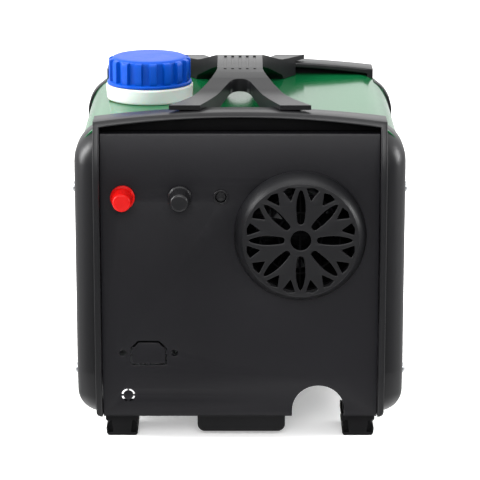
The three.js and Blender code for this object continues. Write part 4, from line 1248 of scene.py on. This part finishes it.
class AddScrews(HeaterBuilder, bpy.types.Operator):
    """Add the eight cross-head screws in the cheeks"""

    bl_idname = "heater.add_screws"
    bl_label = "Side screws"

    def build(self, finishes, details, studio):
        for end in ("front", "rear"):
            for side in ("left", "right"):
                for level in ("lower", "upper"):
                    self.screw(f"{end}_{side}_{level}_screw")

    def screw(self, node):
        head, height, shank = 4 * MM, 2.1 * MM, 1.7 * MM
        profile = [(0.0, 15 * MM - height), (shank, 15 * MM - height), (shank, 0.0)]
        profile += filleted([(shank, 0.0, 0), (head, 0.0, 0.15 * MM), (head, -0.7 * MM, 0.5 * MM),
                             (head * 0.62, -height * 0.93, 1.2 * MM), (0.0, -height, 0)], 5)[1:]
        piece = mesh_object(f"{node}_head", spin(bmesh.new(), profile, 40, closed=False), 40)
        cross = bmesh.new()
        for arm in ((2.1 * MM, 0.42 * MM), (0.42 * MM, 2.1 * MM)):
            add_box(cross, (-arm[0], -height - 1 * MM, -arm[1]),
                    (arm[0], -height + 1.1 * MM, arm[1]))
        cutter = mesh_object("cross_recess", cross)
        cut = piece.modifiers.new("recess", "BOOLEAN")
        cut.operation = "DIFFERENCE"
        cut.use_self = True
        cut.object = cutter
        apply_modifiers(piece)
        bpy.data.objects.remove(cutter)
        outward = 1 if middle(node).x > 0 else -1
        seat_x = (high(node).x - height) if outward > 0 else (low(node).x + height)
        turn = Matrix.Rotation(math.radians(90 * outward), 4, "Z")
        piece.data.transform(Matrix.Translation((seat_x, middle(node).y, middle(node).z)) @ turn)
        dress(piece, plated_steel, "steel", "case", node)


class AddOutlet(HeaterBuilder, bpy.types.Operator):
    """Add the outlet spigot and the controller on the rear panel"""

    bl_idname = "heater.add_outlet"
    bl_label = "Outlet and controller"

    def build(self, finishes, details, studio):
        round_off("outlet_spigot", 0.5 * MM, 2, 35, "outlet_spigot_moulding",
                  black_moulding, "black_moulding")
        round_off("control_bezel", 0.9 * MM, 3, 35, "control_bezel_moulding",
                  black_moulding, "black_moulding")
        round_off("display_window", 0.4 * MM, 3, 35, "display_window_pane",
                  smoked_window, "dark_glass")
        round_off("control_knob", 0.5 * MM, 3, 35, "control_knob_grip",
                  black_moulding, "black_moulding", "control_knob")
        pane = middle("display_window")
        half = (across("display_window", 0) / 2 - 4 * MM,
                across("display_window", 2) / 2 - 3.5 * MM)
        back_y = high("display_window").y
        outline = rounded_rectangle(pane.x, pane.z, half[0], half[1], 1.2 * MM)
        field = plate([outline], back_y - 0.25 * MM, 0.4 * MM, 0.08 * MM)
        glow = mesh_object("display_field", field)
        dress(glow, display_glass, "dark_glass", "case")


class PaintCore(HeaterBuilder, bpy.types.Operator):
    """Give the parts inside the case their finishes"""

    bl_idname = "heater.paint_core"
    bl_label = "Heater core"

    def build(self, finishes, details, studio):
        inside = {
            # Painted shade on the housing, fan wheel and control unit seen through the grille.
            painted_shade_black: ("heater_housing", "fan_wheel", "control_unit"),
            cast_aluminium: ("fan_motor", "burner_blower", "heat_exchanger", "air_stub"),
            plated_steel: ("exhaust_stub", "front_cradle", "rear_cradle", "tank_shelf",
                           "fuel_pump"),
            # The tank is painted near black as painted shade.
            shaded_tank_wall: ("fuel_tank",),
            foot_rubber: ("cap_liner",),
        }
        for maker, nodes in inside.items():
            for node in nodes:
                paint(node, maker)


class AddStudio(HeaterBuilder, bpy.types.Operator):
    """Add the pale floor, the soft lights and the camera"""

    bl_idname = "heater.add_studio"
    bl_label = "Studio"

    def build(self, finishes, details, studio):
        self.floor()
        self.room(studio.room_dark, studio.room_bright)
        aim = Vector((0, 0, 0.15))
        self.softbox("overhead", (0, -0.4, 1.9), aim, (1.6, 1.2), studio.top_light)
        self.softbox("front", (0, -2.3, 1.3), aim, (1.4, 1.1), studio.front_light)
        self.softbox("rim", (-1.35, -0.33, 1.12), aim, (0.5, 0.5), studio.rim_light)
        for side in (-1, 1):
            self.softbox("strip", (side * 1.45, -0.1, 0.6), aim, (0.5, 0.6), studio.side_light)
        self.camera(studio)

    def floor(self):
        shape = bmesh.new()
        bmesh.ops.create_grid(shape, x_segments=12, y_segments=12, size=7)
        floor = mesh_object("floor", shape)
        floor.data.materials.append(finish(studio_floor))
        # Glossy parts mirror the dark table below the horizon, not the lit sweep.
        floor.visible_glossy = False

    def room(self, dark, bright):
        """Surroundings that brighten from low in front to overhead and behind."""
        world = bpy.data.worlds.new("room")
        shading = Shading(world)
        direction = shading.node("ShaderNodeTexCoord", output="Generated")
        depth, height = [shading.node("ShaderNodeSeparateXYZ", {}, {0: direction}, output=axis)
                         for axis in (1, 2)]
        above = shading.between((-0.2, 0.75), depth * 0.45 + height, dark, bright)
        table = shading.ramp(depth * 0.5 + 0.5, [(0.0, 0.14), (0.25, 0.18), (0.45, 0.3),
                                                  (0.55, 0.45), (0.8, 0.3), (1.0, 0.5)])
        glow = shading.between((-0.45, -0.7), height, 0.0, 1.2)
        upper = shading.between((-0.03, 0.06), height, 0.0, 1.0)
        strength = above * upper + (table * 2.0 + glow) * (1.0 - upper)
        background = world.node_tree.nodes["Background"]
        background.inputs["Color"].default_value = (1, 1, 1, 1)
        shading.feed(background.inputs["Strength"], strength)
        bpy.context.scene.world = world

    def softbox(self, name, spot, aim, size, power):
        light = bpy.data.lights.new(name, "AREA")
        light.shape = "RECTANGLE"
        light.size, light.size_y = size
        light.energy = power
        made = bpy.data.objects.new(name, light)
        made.location = spot
        made.visible_camera = False
        made.rotation_euler = (aim - Vector(spot)).to_track_quat("-Z", "Y").to_euler()
        bpy.context.scene.collection.objects.link(made)

    def camera(self, studio):
        frame_pixels = 480
        lens = bpy.data.cameras.new("camera")
        lens.sensor_width = 36
        lens.lens = studio.focal * lens.sensor_width / frame_pixels
        lens.clip_end = 60
        made = bpy.data.objects.new("camera", lens)
        made.location = (0, -studio.distance, studio.eye_height)
        made.rotation_euler = (math.pi / 2 - studio.pitch, 0, 0)
        bpy.context.scene.collection.objects.link(made)
        bpy.context.scene.camera = made


# ------------------------------------------------------------------ add-on
STEPS = (AddArches, AddCheeks, AddFrontPanel, AddRearPanel, AddCover, AddFeet, AddHandle,
         AddFiller, AddPosts, AddButton, AddGrille, AddScrews, AddOutlet, PaintCore, AddStudio)
GROUPS = (HeaterFinishes, HeaterDetails, HeaterStudio)


class HeaterPanel(bpy.types.Panel):
    """Lists the heater's settings and the steps that build it"""

    bl_idname = "VIEW3D_PT_heater"
    bl_label = "Air heater"
    bl_space_type = "VIEW_3D"
    bl_region_type = "UI"
    bl_category = "Heater"

    def draw(self, context):
        for group in settings():
            box = self.layout.box()
            for name in group.__annotations__:
                box.prop(group, name)
        column = self.layout.column()
        for step in STEPS:
            column.operator(step.bl_idname, text=step.bl_label)


def register():
    for cls in (*GROUPS, *STEPS, HeaterPanel):
        bpy.utils.register_class(cls)
    bpy.types.Scene.heater_finishes = PointerProperty(type=HeaterFinishes)
    bpy.types.Scene.heater_details = PointerProperty(type=HeaterDetails)
    bpy.types.Scene.heater_studio = PointerProperty(type=HeaterStudio)


def unregister():
    del bpy.types.Scene.heater_studio
    del bpy.types.Scene.heater_details
    del bpy.types.Scene.heater_finishes
    for cls in (HeaterPanel, *reversed(STEPS), *reversed(GROUPS)):
        bpy.utils.unregister_class(cls)


def main():
    register()
    bpy.ops.heater.add_studio()
    bpy.ops.heater.add_arches()
    bpy.ops.heater.add_cheeks()
    bpy.ops.heater.add_front_panel()
    bpy.ops.heater.add_rear_panel()
    bpy.ops.heater.add_cover()
    bpy.ops.heater.add_feet()
    bpy.ops.heater.add_handle()
    bpy.ops.heater.add_filler()
    bpy.ops.heater.add_posts()
    bpy.ops.heater.add_button()
    bpy.ops.heater.add_grille()
    bpy.ops.heater.add_screws()
    bpy.ops.heater.add_outlet()
    bpy.ops.heater.paint_core()
    bpy.context.scene.view_settings.view_transform = "Standard"


if __name__ == "__main__":
    main()
